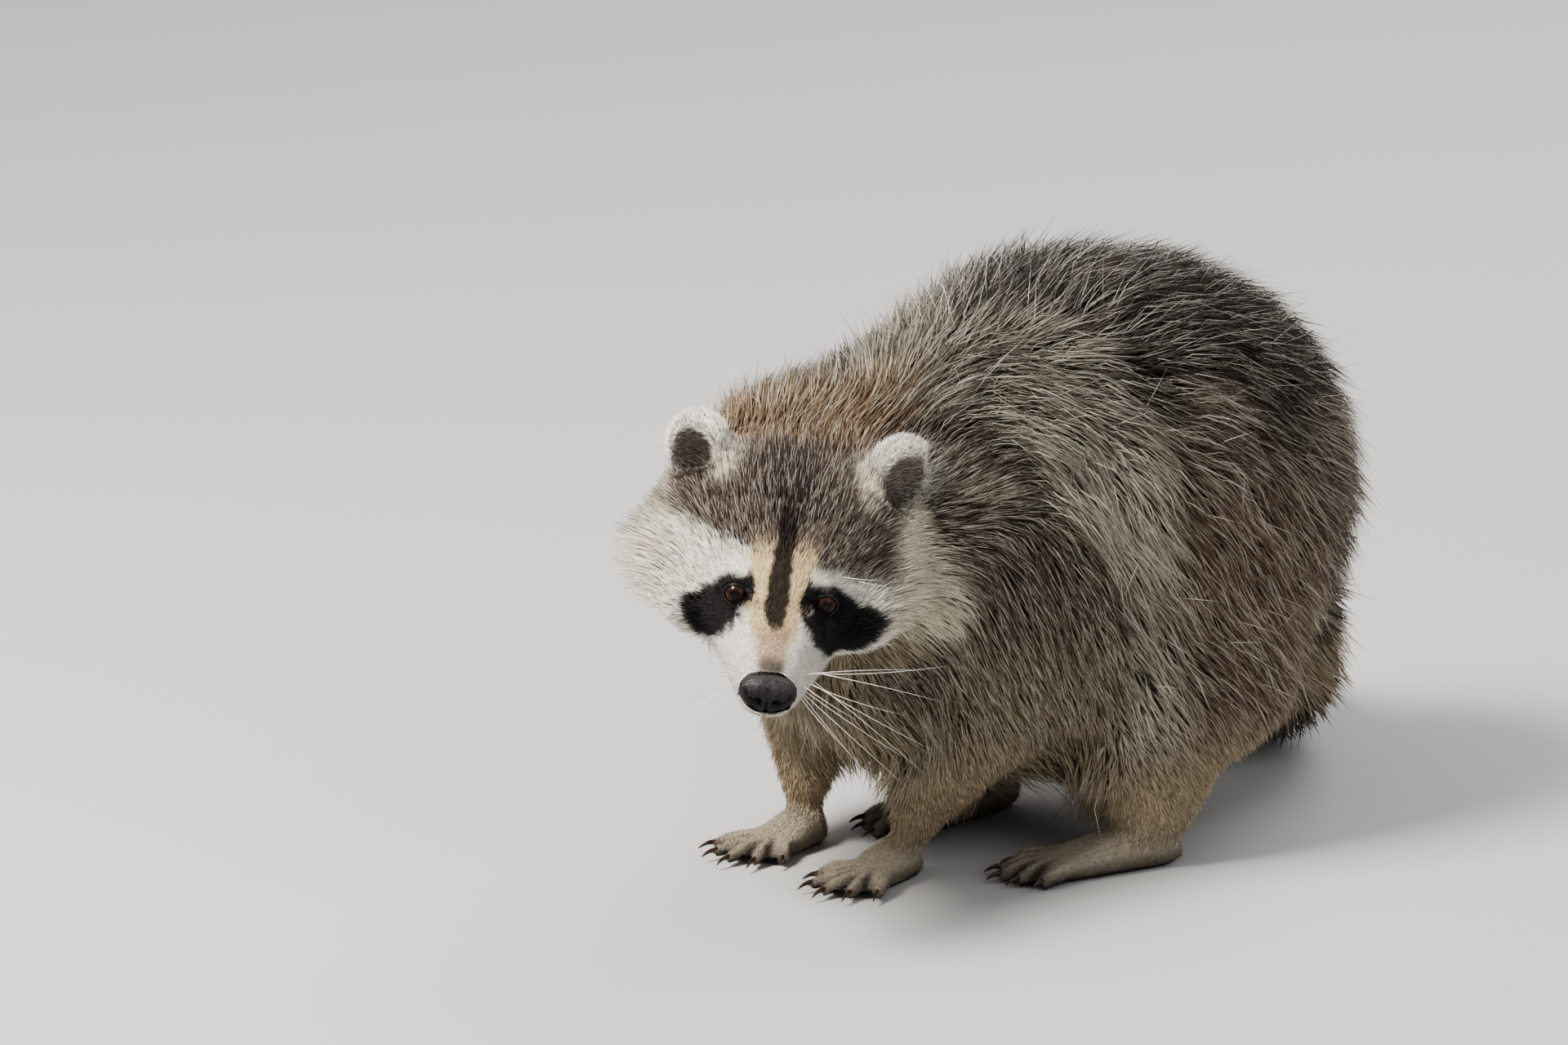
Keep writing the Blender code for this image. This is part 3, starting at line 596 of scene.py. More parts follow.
def make_eyeball(eye, material):
    """A ball with a raised cornea, its iris and pupil painted in rings round the axis."""
    rows, columns = 60, 72
    off, round_it = ball_angles(rows, columns, 0.004)
    degrees = np.degrees(off)
    radius = EYE_RADIUS + CORNEA * until(degrees, 10, 50)
    points = eye.place(radius, off, round_it).reshape(-1, 3)
    rays = np.random.default_rng(40).uniform(0, 1, columns)
    iris = mix(IRIS_BROWN, IRIS_PALE, 0.75 * rays * step(degrees, PUPIL, PUPIL + 8))
    iris = mix(iris, EYE_BLACK, 0.8 * step(degrees, IRIS - 12, IRIS))
    colour = mix(iris, EYE_BLACK, until(degrees, PUPIL - 2, PUPIL + 2))
    colour = mix(colour, EYE_BLACK, step(degrees, IRIS - 3, IRIS + 1)).reshape(-1, 3)
    faces = grid_faces(rows, columns)
    made = piece("eyeball_" + eye.hand, material, "eye_gloss", points, faces, colour)
    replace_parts(made, "eye_" + eye.hand)


def make_lids(eye, material):
    """A closed band round the opening, lying on the eyeball."""
    columns, rows = 96, 13
    round_it = np.linspace(0, 2 * math.pi, columns, endpoint=False)
    turn = np.linspace(0, 2 * math.pi, rows)
    round_it, turn = np.meshgrid(round_it, turn)
    upper = step(np.sin(round_it), -0.2, 0.7)
    half = LID_WIDTH / EYE_RADIUS / 2 * (1 + 0.25 * upper)
    off = lid_edge(round_it) + half - np.cos(turn) * half
    thick = LID_THICK * (1 + 0.5 * upper)
    radius = EYE_RADIUS + 0.0003 + thick * np.sin(turn) * (0.75 + 0.25 * np.cos(turn))
    points = eye.place(radius, off, round_it).reshape(-1, 3)
    # A paler line along the lower lid: a painted glint of light on its wet edge.
    painted_glint = (1 - upper) * (1 - np.abs(np.cos(turn) - 0.6)).clip(0, 1)
    colour = mix(LID_BLACK, LID_PAINTED_GLINT, 0.4 * painted_glint).reshape(-1, 3)
    piece("eyelids_" + eye.hand, material, "pelt_face", points, grid_faces(rows, columns), colour)


# ---------------- lie of the coat

TAIL_POINTS = STANCE + TAIL_LINE / 100


def along_tail(points):
    """How far along the tail each point is, in metres, and the tail's way there."""
    starts, ends = TAIL_POINTS[:-1], TAIL_POINTS[1:]
    way = ends - starts
    size = np.linalg.norm(way, axis=1)
    base = np.concatenate([[0], np.cumsum(size)[:-1]])
    best = np.full(len(points), np.inf)
    place = np.zeros(len(points))
    lie = np.zeros_like(points)
    for k in range(len(way)):
        t = np.clip((points - starts[k]) @ way[k] / size[k] ** 2, 0, 1)
        gap = gap_to(points - starts[k], t[:, None] * way[k])
        nearer = gap < best
        best[nearer] = gap[nearer]
        place[nearer] = base[k] + t[nearer] * size[k]
        lie[nearer] = way[k] / size[k]
    return place, lie


def coat_lie(skin):
    """The way the coat lies at each point of the skin."""
    p, n = skin.points, skin.up
    q = to_head(p)
    x, y = q.T[:2]
    head_way = unit(q - (NOSE_IN_HEAD + (0, -0.4, 0.2)))
    head_way[:, 2] -= 0.45 * step(np.abs(x), 3.5, 6) * step(y, 0, 3)
    head_way[:, 0] += 0.25 * np.sign(x) * step(np.abs(x), 3.0, 5.0) * step(y, 0, 3)
    head_way[:, 1] += 0.6 * step(y, 0, 6)
    side = 1 - np.abs(n[:, 2])
    steep = 1.35 - 0.75 * step(p[:, 1], STANCE[1] + 0.13, STANCE[1] + 0.22)
    trunk = np.stack([np.zeros(len(p)), np.ones(len(p)), -0.25 - steep * side], axis=1)
    neck = np.stack([np.full(len(p), -0.35), np.ones(len(p)), -0.2 - 0.8 * side], axis=1)
    ways = (
        head_way @ HEAD_TURNED.T,
        neck,
        trunk,
        np.broadcast_to((0.0, 0.45, -1.0), p.shape),
        np.broadcast_to((0.0, 0.6, -1.0), p.shape),
        np.broadcast_to((0.0, -1.0, -0.35), p.shape),
        along_tail(p)[1],
        ear_lie(p),
    )
    lie = sum(skin.weights[:, [k]] * unit(way) for k, way in enumerate(ways))
    lie -= n * (lie * n).sum(axis=1, keepdims=True)
    lie = skin.smooth(lie, 24)
    lie = unit(lie - n * (lie * n).sum(axis=1, keepdims=True))
    loose = step(skin.depth, 0.008, 0.018)
    swirl = (waves(p, 0.08, 3) * 0.32 + waves(p, 0.028, 4) * 0.27) * loose
    return unit(lie + np.cross(n, lie) * swirl[:, None])


# ---------------- markings

BLACK = srgb(30, 27, 28)
WHITE = srgb(240, 236, 226)
CREAM = srgb(228, 206, 168)
CHEEK = srgb(226, 217, 196)
TAN = srgb(190, 158, 124)
STRIPE = srgb(40, 31, 29)
CROWN, CROWN_DARK = srgb(94, 80, 72), srgb(66, 54, 49)
NAPE = srgb(150, 122, 92)
BACK, BACK_GREY = srgb(54, 46, 41), srgb(110, 100, 88)
FLANK, FLANK_PALE = srgb(116, 104, 90), srgb(180, 172, 156)
HAUNCH = srgb(120, 98, 84)
# SHADOW is a darker brown for the neck behind the ruff, the front of the trunk and the top of the forelegs:
# partly the coat's own colour, partly painted shade.
SHADOW = srgb(84, 74, 63)
LIP_BLACK = srgb(36, 30, 29)
BELLY = srgb(176, 160, 136)
SHANK = srgb(188, 170, 144)
PAW = srgb(198, 186, 166)
TOE = srgb(104, 92, 84)
SOLE = srgb(52, 46, 44)
RING_PALE, RING_DARK = srgb(160, 142, 118), srgb(42, 35, 31)
RING_START, RING_EVERY = 0.05, 0.054  # metres along the tail
TAIL_TIP_DARK = (0.316, 0.323)  # metres along it, where the dark tip begins
EAR_INSIDE, EAR_PAINTED_SHADE = srgb(160, 150, 142), srgb(50, 43, 40)
TICK_PALE = srgb(226, 219, 202)
RUFF_MIDDLE, RUFF_TOP, RUFF_BOTTOM = 0.6, (6.7, 4.1), (8.9, -0.9)  # cm across and up from the eyes

# Tables of the head's markings, in cm: places across it against heights, and places along it
# against the middle line and half the stripe's width.
MASK_TOP = (
    (0.9, 1.1), (1.25, 1.75), (1.5, 1.42), (2.15, 1.14), (3.1, 0.77), (3.9, 0.24), (4.7, -0.16), (5.8, -0.8),
)
MASK_BASE = (
    (0.8, 1.2), (1.1, 0.55), (1.4, -0.05), (1.85, -0.6), (2.3, -1.25), (2.75, -1.95), (3.4, -2.6),
    (4.2, -2.95), (5.0, -2.15), (5.7, -1.0),
)
BROW_LEFT = ((1.3, 1.75), (2.2, 1.5), (3.45, 1.05), (5.0, 0.4), (6.6, -0.5))
BROW_RIGHT = ((1.4, 2.1), (3.6, 2.1), (4.6, 1.95), (5.6, 1.6), (7.0, 0.9))
MIDLINE = ((-4.0, -0.25), (-1.3, -0.22), (0.7, -0.07), (2.0, 0.06), (5.0, 0.0))
STRIPE_HALF = ((-3.1, 0.0), (-2.7, 0.36), (-2.1, 0.54), (-1.2, 0.52), (0.7, 0.44), (2.2, 0.38), (4.0, 0.5))
EYES_AT = [to_head(eye.middle) for eye in EYES]


class Marks:
    """A coat's colour, how much its hairs differ, and the share of them with pale tips."""

    def __init__(self, count, colour, grain, pale):
        self.colour = np.broadcast_to(colour, (count, 3)).copy()
        self.grain = np.full(count, float(grain))
        self.pale = np.full(count, float(pale))

    def paint(self, colour, share, grain=None, pale=None):
        share = np.clip(share, 0, 1)
        self.colour = mix(self.colour, colour, share)
        if grain is not None:
            self.grain = self.grain * (1 - share) + grain * share
        if pale is not None:
            self.pale = self.pale * (1 - share) + pale * share

    def add(self, other, share, shade=1.0):
        """Adds a share of other marks, their colour times a shade for each point."""
        self.colour += share[:, None] * other.colour * np.reshape(shade, (-1, 1))
        self.grain += share * other.grain
        self.pale += share * other.pale


def head_markings(q, jitter):
    """The raccoon's mask, brows, stripes, muzzle and crown, in the head's frame."""
    x = q[:, 0] - along(q[:, 1], MIDLINE)
    side, y, z = np.abs(x), q[:, 1], q[:, 2]
    right = step(-x, -0.3, 0.3)
    edge = jitter * 0.12
    made = Marks(len(q), CROWN, 0.85, 0.33)
    made.paint(CROWN_DARK, until(side, 0.8, 2.6) * step(y, 1.0, 4.0) * 0.6)
    nape = step(y + edge * 4, 6.6, 9.6) * step(z, 0.5, 3.0) * until(side, 3.6, 6.0)
    made.paint(NAPE, nape * 0.8, 1.0, 0.42)
    brow = along(side, BROW_LEFT) * (1 - right) + along(side, BROW_RIGHT) * right
    below_brow = until(z + edge, brow - 0.1, brow + 0.5)
    made.paint(WHITE, below_brow * until(y, 4.4, 7.0), 0.1)
    ruff = step(side, 5.0, 6.4) * until(z - 0.25 * y, 0.6, 2.2) * until(y, 6.5, 9.0)
    # The ruff takes more of the creamier cheek colour on the animal's left than on its right: painted shade
    # on that side.
    made.paint(CHEEK, ruff * (0.92 - 0.5 * right), 0.3, 0.6)
    made.paint(CHEEK, below_brow * step(y, 2.0, 5.0) * 0.5, 0.25, 0.6)
    behind = step(y, 6.0, 8.5) * until(z, 0.0, 2.0)
    made.paint(FLANK, behind * 0.8, 0.8, 0.4)
    cream_edge = 1.08 + 0.17 * (y + 1.7)
    cream = until(side + edge, cream_edge, cream_edge + 0.28) * until(y, 0.1, 1.6)
    made.paint(CREAM, cream * step(y, -3.8, -2.8), 0.12)
    bridge = until(side, 0.45, 1.05) * until(y, -3.2, -2.4) * step(y, -5.4, -4.2)
    made.paint(TAN, bridge * 0.75 * step(z, -2.6, -1.7), 0.2)
    reach = side + 0.33 * np.maximum(side - 2, 0) * right
    inside = step(along(reach, MASK_TOP) - z + edge, -0.04, 0.14)
    inside = inside * step(z - along(reach, MASK_BASE) + edge, -0.1, 0.14)
    inner = 0.98 + 0.3 * step(z, 0.5, 1.7)
    inside = inside * step(side + edge * 0.5, inner, inner + 0.15) * until(reach, 5.4, 6.1)
    inside = inside * until(y + edge * 2, 2.0, 3.6)
    eye = np.minimum(*[gap_to(q, eye_at) for eye_at in EYES_AT])
    inside = np.maximum(inside, until(eye + edge, 1.0, 1.25) * until(z, 1.0, 1.3))
    made.paint(BLACK, inside, 0.04)
    half = along(y, STRIPE_HALF)
    stripe = until(side + edge * 0.5, half - 0.08, half + 0.12)
    stripe = stripe * step(y, -3.2, -2.6) * until(y, 1.6, 4.4) * step(z, -0.6, -0.2)
    made.paint(STRIPE, stripe * 0.96, 0.12, 0.04)
    crest = until(side, 0.3, 1.5) * step(y, 1.2, 3.0) * until(y, 5.0, 8.0)
    made.paint(STRIPE, crest * 0.55, 0.8, 0.22)
    patch = until(side, 0.35, 0.9) * step(-y, 4.0, 4.7) * step(z, -2.2, -1.7)
    made.paint(STRIPE, patch * 0.75, 0.1)
    made.paint(LIP_BLACK, until(gap_to(q, NOSE_IN_HEAD, NOSE_BARE), 1.0, 1.06), 0.0)
    throat = step(-z, 3.2, 4.8) * step(y, 0.0, 2.5)
    made.paint(mix(BELLY, CROWN, 0.15), throat * (1 - inside), 0.6, 0.4)
    # Behind the ruff the neck is painted darker: partly its own colour, partly painted shade.
    made.paint(SHADOW, beyond_ruff(q, jitter), 1.0, 0.42)
    e = ear_places(from_head(q))
    for foot, size in EAR_RIM_FEET:
        near = until(gap_to(e, foot, size) + edge, 0.6, 1.1)
        made.paint(mix(WHITE, CREAM, 0.35), near, 0.3, 0.6)
    return made


def beyond_ruff(q, jitter):
    """1 behind the edge of the cheek ruff, where the darker neck begins, partly its own colour and partly
    painted shade.
    """
    side = q[:, 0] - RUFF_MIDDLE
    out = np.abs(side) + jitter * 0.22
    up = 0.47 * (q[:, 1] + 0.3) + 0.88 * (q[:, 2] - 0.25)
    above = 0.836 * (out - RUFF_TOP[0]) + 0.548 * (up - RUFF_TOP[1])
    below = 0.578 * (out - RUFF_BOTTOM[0]) - 0.816 * (up - RUFF_BOTTOM[1])
    edge = np.maximum(above, below)
    return step(edge, -0.1, 0.5) * step(q[:, 1], 1.0, 3.0) * until(up, 5.6, 6.8)


def ear_markings(p):
    """A white rim round a cup whose lower hollow is painted dark as shade, and a dark base behind."""
    e = ear_places(p)
    x, y, z = e.T
    made = Marks(len(p), WHITE, 0.1, 0.8)
    made.paint(CREAM, step(-x, 0.3, 1.5) * until(z, -0.9, 1.4) * 0.75)
    made.paint(CROWN, step(y, 0.5, 1.0) * until(z, -0.6, 0.8), 0.8, 0.35)
    inside = until(ear_hollow(e), 0.82, 1.04) * until(y, 0.5, 0.9)
    made.paint(EAR_INSIDE, inside, 0.8, 0.6)
    # The lower hollow of the cup is painted dark: painted shade deep in it.
    made.paint(EAR_PAINTED_SHADE, inside * until(z + 0.35 * x, -1.3, 0.3) * 0.95, 0.15, 0.1)
    return made


def body_markings(p, n, weights):
    """The body region by region, from places measured from the left forefoot's toes."""
    x, y, z = ((p - STANCE) * 100).T
    count = len(p)
    top = step(n[:, 2], 0.25, 0.85)
    under = step(-n[:, 2], 0.15, 0.75)
    patchy = waves(p, 0.06, 21)

    trunk = Marks(count, FLANK, 1.0, 0.45)
    band = y + 1.3 * patchy
    # A darker band at the front of the trunk, behind the shoulder and ruff: partly its own colour, partly
    # painted shade.
    trunk.paint(SHADOW, until(band, 4.5, 8.0), 1.0, 0.34)
    trunk.paint(FLANK_PALE, step(band, 6.0, 9.0) * until(band, 13.5, 17.5) * 0.85, 0.9, 0.68)
    trunk.paint(HAUNCH, step(band, 15.5, 19) * 0.75, 1.0, 0.42)
    trunk.paint(BACK, step(band, 24, 29) * 0.45, 1.0, 0.36)
    trunk.paint(BACK_GREY, top * 0.7, 1.0, 0.5)
    saddle = step(n[:, 2] + 0.2 * patchy, 0.1, 0.7) * step(y + 2.0 * patchy, 10.5, 16.5)
    trunk.paint(BACK, saddle, 1.0, 0.28)
    low = until(z + 1.5 * patchy, 4.0, 8.5)
    trunk.paint(BELLY, under * 0.8 + 0.5 * low, 0.7, 0.48)

    neck = Marks(count, mix(FLANK, BACK, 0.35), 1.0, 0.42)
    nape = until(y + 0.6 * np.abs(x + 1.5) + 1.2 * patchy, 3.0, 8.5) * step(n[:, 2], 0.1, 0.6)
    neck.paint(NAPE, nape * 0.8, 1.0, 0.42)
    beside = step(x, 0.5, 4.0) * step(z, 8, 12) * until(n[:, 2], 0.3, 0.8)
    # The sides of the neck are darker than its top: partly their own colour, partly painted shade.
    neck.paint(SHADOW, beside * 0.9, 1.0, 0.42)
    neck.paint(BELLY, under * 0.8 + 0.5 * until(z, 7, 11), 0.7, 0.42)

    fore = Marks(count, SHANK, 0.45, 0.4)
    fore.paint(mix(FLANK, BELLY, 0.35), step(z + 1.0 * patchy, 4.5, 9.0), 0.9, 0.5)
    # The top of the foreleg is darker: partly its own colour, partly painted shade.
    fore.paint(mix(FLANK, SHADOW, 0.5), step(z + 1.0 * patchy, 9.5, 14.0), 1.0, 0.44)
    hind = Marks(count, SHANK, 0.45, 0.4)
    hind.paint(HAUNCH, step(z + patchy, 3.0, 7.5), 0.9, 0.45)
    hind.paint(FLANK_PALE, until(y + patchy, 14, 18) * step(z, 4, 7) * 0.85, 0.9, 0.62)
    hind.paint(BACK, 0.45 * step(z, 11, 18) * step(y, 22, 28), 1.0)

    paw = Marks(count, PAW, 0.5, 0.4)
    paw.paint(TOE, until(z, 0.45, 1.15) * 0.7, 0.4)
    # The grooves between the toes are painted darker: painted shade.
    paw.paint(TOE * 0.5, toe_grooves(p), 0.0)
    paw.paint(SOLE, step(-n[:, 2], 0.25, 0.7) * until(z, 0.5, 0.9), 0.0)

    place = along_tail(p)[0]
    ring = np.sin(2 * np.pi * (place - RING_START) / RING_EVERY)
    tail = Marks(count, RING_PALE, 0.5, 0.4)
    tail.paint(RING_DARK, step(ring + 0.12 * patchy, -0.15, 0.35) * step(place, 0.045, 0.07), 0.2)
    tail.paint(RING_DARK, step(place, *TAIL_TIP_DARK), 0.2)
    tail.paint(HAUNCH, until(place, 0.01, 0.045), 0.9)

    made = Marks(count, 0.0, 0.0, 0.0)
    for region, marks in ((NECK, neck), (TRUNK, trunk), (FORELEG, fore), (HINDLEG, hind)):
        made.add(marks, weights[:, region], 1 + 0.09 * patchy)
    made.add(paw, weights[:, FOOT])
    made.add(tail, weights[:, TAIL])
    return made


def markings(p, n, weights, jitter):
    """The coat's marks at each point where it shows."""
    made = body_markings(p, n, weights)
    made.add(head_markings(to_head(p), jitter), weights[:, FACE])
    made.add(ear_markings(p), weights[:, EAR])
    return made


# ---------------- materials


def fill(node, **values):
    """Sets a node's sockets. Their names are written with _ for each space."""
    for name, value in values.items():
        node.inputs[name.replace("_", " ")].default_value = value


def ramp_node(nodes, links, stops, source):
    """The colour that a source has on a ramp between two stops."""
    ramp = nodes.new("ShaderNodeValToRGB")
    for stop, (place, colour) in zip(ramp.color_ramp.elements, stops):
        stop.position, stop.color = place, (*colour, 1)
    links.new(source, ramp.inputs["Fac"])
    return ramp.outputs["Color"]


class Look:
    """A material, and the nodes that feed its shader."""

    def __init__(self, name, roughness, specular, coat=0.0):
        self.material = bpy.data.materials.new(name)
        self.material.use_nodes = True
        self.nodes, self.links = self.material.node_tree.nodes, self.material.node_tree.links
        self.shader = self.nodes["Principled BSDF"]
        fill(self.shader, Roughness=roughness, Specular_IOR_Level=specular)
        fill(self.shader, Coat_Weight=coat, Coat_Roughness=0.04)

    def noise(self, scale, detail=4):
        """Noise in the object's own coordinates."""
        place = self.nodes.new("ShaderNodeTexCoord")
        noise = self.nodes.new("ShaderNodeTexNoise")
        fill(noise, Scale=scale, Detail=detail)
        self.links.new(place.outputs["Object"], noise.inputs["Vector"])
        return noise.outputs["Fac"]

    def mark(self, scale, low, high):
        """Base colour from the markings, varied by fine noise."""
        marking = self.nodes.new("ShaderNodeVertexColor")
        marking.layer_name = "Marking"
        ramp = self.nodes.new("ShaderNodeMapRange")
        fill(ramp, To_Min=low, To_Max=high)
        self.links.new(self.noise(scale), ramp.inputs["Value"])
        times = self.nodes.new("ShaderNodeVectorMath")
        times.operation = "SCALE"
        self.links.new(marking.outputs["Color"], times.inputs[0])
        self.links.new(ramp.outputs["Result"], times.inputs["Scale"])
        self.links.new(times.outputs["Vector"], self.shader.inputs["Base Color"])

    def bump(self, source, strength, distance):
        made = self.nodes.new("ShaderNodeBump")
        fill(made, Strength=strength, Distance=distance)
        self.links.new(source, made.inputs["Height"])
        self.links.new(made.outputs["Normal"], self.shader.inputs["Normal"])


def marked_material(name, roughness, specular, coat, shades, relief=None):
    """Colour from the markings, varied by fine noise, with fine relief and a clear wet layer.

    shades is the noise's scale, low and high; relief is its scale, detail, strength and depth.
    """
    look = Look(name, roughness, specular, coat)
    look.mark(*shades)
    if relief:
        look.bump(look.noise(*relief[:2]), *relief[2:])
    return look.material


def horn_material(name, low, high, scale, roughness, strength):
    """Noise between two colours, each with its place, and the same noise as relief."""
    look = Look(name, roughness, 0.45)
    noise = look.noise(scale)
    colour = ramp_node(look.nodes, look.links, (low, high), noise)
    look.links.new(colour, look.shader.inputs["Base Color"])
    look.bump(noise, strength, 0.0004)
    return look.material


# ---------------- coat


def point_tree(points):
    tree = KDTree(len(points))
    for number, point in enumerate(points):
        tree.insert(point, number)
    tree.balance()
    return tree


def nearest_in(tree, points):
    return np.array([tree.find(point)[1] for point in points])


def make_skin():
    """The finished skin, with all that the coat needs to know at each of its points."""
    skin = inset_flesh()
    sink_eyes(skin)
    skin.weights = np.clip(skin.weights, 0, 1)
    skin.weights /= skin.weights.sum(axis=1, keepdims=True)
    skin.up = skin.normals()
    skin.lie = coat_lie(skin)
    skin.faces = np.concatenate([skin.quads[:, [0, 1, 2]], skin.quads[:, [0, 2, 3]]])
    skin.tree = point_tree(skin.points)
    return skin


def scatter(skin, density, seed, length):
    """Roots spread over the skin, so many for each square metre, and what there is at each."""
    rng = np.random.default_rng(seed)
    corner = skin.points[skin.faces]
    area = 0.5 * np.linalg.norm(
        np.cross(corner[:, 1] - corner[:, 0], corner[:, 2] - corner[:, 0]), axis=1
    )
    wanted = area * density[skin.faces].mean(axis=1)
    reach = np.cumsum(wanted)
    count = int(reach[-1])
    spots = (np.arange(count) + rng.uniform(0, 1, count)) * reach[-1] / count
    face = np.minimum(np.searchsorted(reach, spots), len(reach) - 1)
    a, b = rng.uniform(0, 1, (2, count))
    flip = a + b > 1
    a, b = np.where(flip, 1 - a, a), np.where(flip, 1 - b, b)
    share = np.stack([1 - a - b, a, b], axis=1)[:, :, None]
    corners = skin.faces[face]

    def at(values):
        values = values.reshape(len(values), -1)
        return (values[corners] * share).sum(axis=1)

    return SimpleNamespace(
        rng=rng,
        count=count,
        p=at(skin.points),
        n=unit(at(skin.up)),
        lie=unit(at(skin.lie)),
        depth=at(skin.depth)[:, 0],
        weights=at(skin.weights),
        length=at(length)[:, 0],
    )


ROOT_DEEP, ROOT_SHARE = 0.0006, 0.08  # how far roots lie in the skin, and the most for short hair
HAIR_CLEAR, HAIR_LIFT = 0.0007, 0.012  # a hair's least height over the skin, and its most lift
SAME_SIDE = 0.35  # the least product of two normals on the same side of a thin ear


def grow_paths(skin, roots, length, rise, fall, bends, droop, spread):
    """Each hair's points from its root: it leaves the skin at rise degrees and flattens to fall."""
    here = roots.p - roots.n * np.minimum(ROOT_DEEP, ROOT_SHARE * length)[:, None]
    n, lie = roots.n, roots.lie
    stray = roots.rng.normal(size=(len(length), 3)) * spread
    path = [here]
    for k in range(bends):
        angle = np.radians(rise + (fall - rise) * k / max(bends - 1, 1))
        way = lie * np.cos(angle)[:, None] + n * np.sin(angle)[:, None]
        way = unit(way + stray + np.array((0, 0, -droop * (k + 1))))
        here = here + way * (length / bends)[:, None]
        near = nearest_in(skin.tree, here)
        up = skin.up[near]
        height = ((here - skin.points[near]) * up).sum(axis=1)
        here = here + up * np.clip(HAIR_CLEAR - height, 0, HAIR_LIFT)[:, None]
        path.append(here)
        same = ((up * roots.n).sum(axis=1) > SAME_SIDE)[:, None]
        n = np.where(same, up, roots.n)
        lie = np.where(same, unit(skin.lie[near] + roots.lie * 0.3), roots.lie)
    return np.stack(path, axis=1)


def keep_above_floor(path, rng):
    low = 0.0006 + 0.0008 * rng.uniform(0, 1, (len(path), 1))
    path[:, :, 2] = np.maximum(path[:, :, 2], low)
    return path


def keep_in_room(path, shorter, times):
    """Shortens the hairs that reach further out than a margin round the solids' box."""
    for _ in range(times):
        share = np.where(in_room(path), 1, shorter)[:, None, None]
        path = path[:, :1] + (path - path[:, :1]) * share
    return path


def clumped(roots, path, every, pull):
    """Draws the tips of neighbouring hairs together. Returns the paths and each hair's clump."""
    guides = roots.rng.permutation(len(path))[: max(1, len(path) // every)]
    clump = nearest_in(point_tree(roots.p[guides]), roots.p)
    share = pull * np.linspace(0, 1, path.shape[1]) ** 1.3
    together = path + (path[guides[clump]] - path) * share[None, :, None]
    return together, clump


CORNERS = np.array(((-1.0, -0.3), (1.0, -0.3), (0.0, 0.6)))


def hair_arrays(path, up, width, shape):
    """Closed three-sided hairs: points, faces, and how far along its hair each point is."""
    count, stops = path.shape[:2]
    rings = stops - 1
    way = np.gradient(path, axis=1)
    side = unit(np.cross(way, up[:, None, :]))
    over = unit(np.cross(side, way))
    size = (width[:, None] / 2) * np.asarray(shape)[None, :]
    offset = (
        side[:, :rings, None, :] * CORNERS[:, 0, None] + over[:, :rings, None, :] * CORNERS[:, 1, None]
    )
    points = path[:, :rings, None, :] + offset * size[:, :, None, None]
    points = np.concatenate([points.reshape(count, rings * 3, 3), path[:, -1:]], axis=1)
    faces = [(0, 1, 2)]
    for k in range(rings - 1):
        for j in range(3):
            a, b = 3 * k + j, 3 * k + (j + 1) % 3
            faces += [(a, a + 3, b), (b, a + 3, b + 3)]
    last = 3 * (rings - 1)
    faces += [(last + j, 3 * rings, last + (j + 1) % 3) for j in range(3)]
    each = 3 * rings + 1
    faces = (np.arange(count)[:, None, None] * each + np.array(faces)[None]).reshape(-1, 3)
    level = np.repeat(np.arange(stops), [3] * rings + [1]) / rings
    return points, faces, level


def unwrap(p, n):
    """Places on an unwrap of the skin: six charts, one for each way that it faces."""
    low, high = p.min(axis=0), p.max(axis=0)
    place = (p - low) / np.maximum(high - low, 1e-6)
    axis = np.abs(n).argmax(axis=1)
    chart = axis * 2 + (n[np.arange(len(n)), axis] > 0)
    others = np.array(((1, 2), (0, 2), (0, 1)))[axis]
    u = place[np.arange(len(p)), others[:, 0]]
    v = place[np.arange(len(p)), others[:, 1]]
    return np.stack([(chart % 3 + 0.02 + 0.96 * u) / 3, (chart // 3 + 0.02 + 0.96 * v) / 2], axis=1)


PATCH = 0.003
MOST_TRIANGLES = 185000


def coat_pieces(name, roots, path, width, shape, shades, material, slot):
    """Hair as one or more pieces, each of at most about MOST_TRIANGLES triangles.

    shades holds one colour for each stop along a hair, from its root to its tip.
    """
    per_hair = 6 * (path.shape[1] - 2) + 4
    parts = max(1, math.ceil(len(path) * per_hair / MOST_TRIANGLES))
    order = np.argsort(roots.p[:, 1], kind="stable")
    for number, rows in enumerate(np.array_split(order, parts)):
        points, faces, level = hair_arrays(path[rows], roots.n[rows], width[rows], shape)
        stop = np.round(level * (path.shape[1] - 1)).astype(int)
        colours = shades[rows][:, stop].reshape(-1, 3)
        uv = unwrap(roots.p[rows], roots.n[rows])
        across = np.concatenate([np.tile((0.0, 1.0, 0.5), path.shape[1] - 1), [0.5]])
        patch = np.stack([across, level], axis=1)[None] * PATCH
        uvs = (uv[:, None, :] + patch - PATCH / 2).reshape(-1, 2)
        title = name if parts == 1 else f"{name}_{number + 1}"
        clipped = np.clip(colours, 0, 1), np.clip(uvs, 0, 1)
        piece(title, material, slot, points.reshape(-1, 3), faces, *clipped)


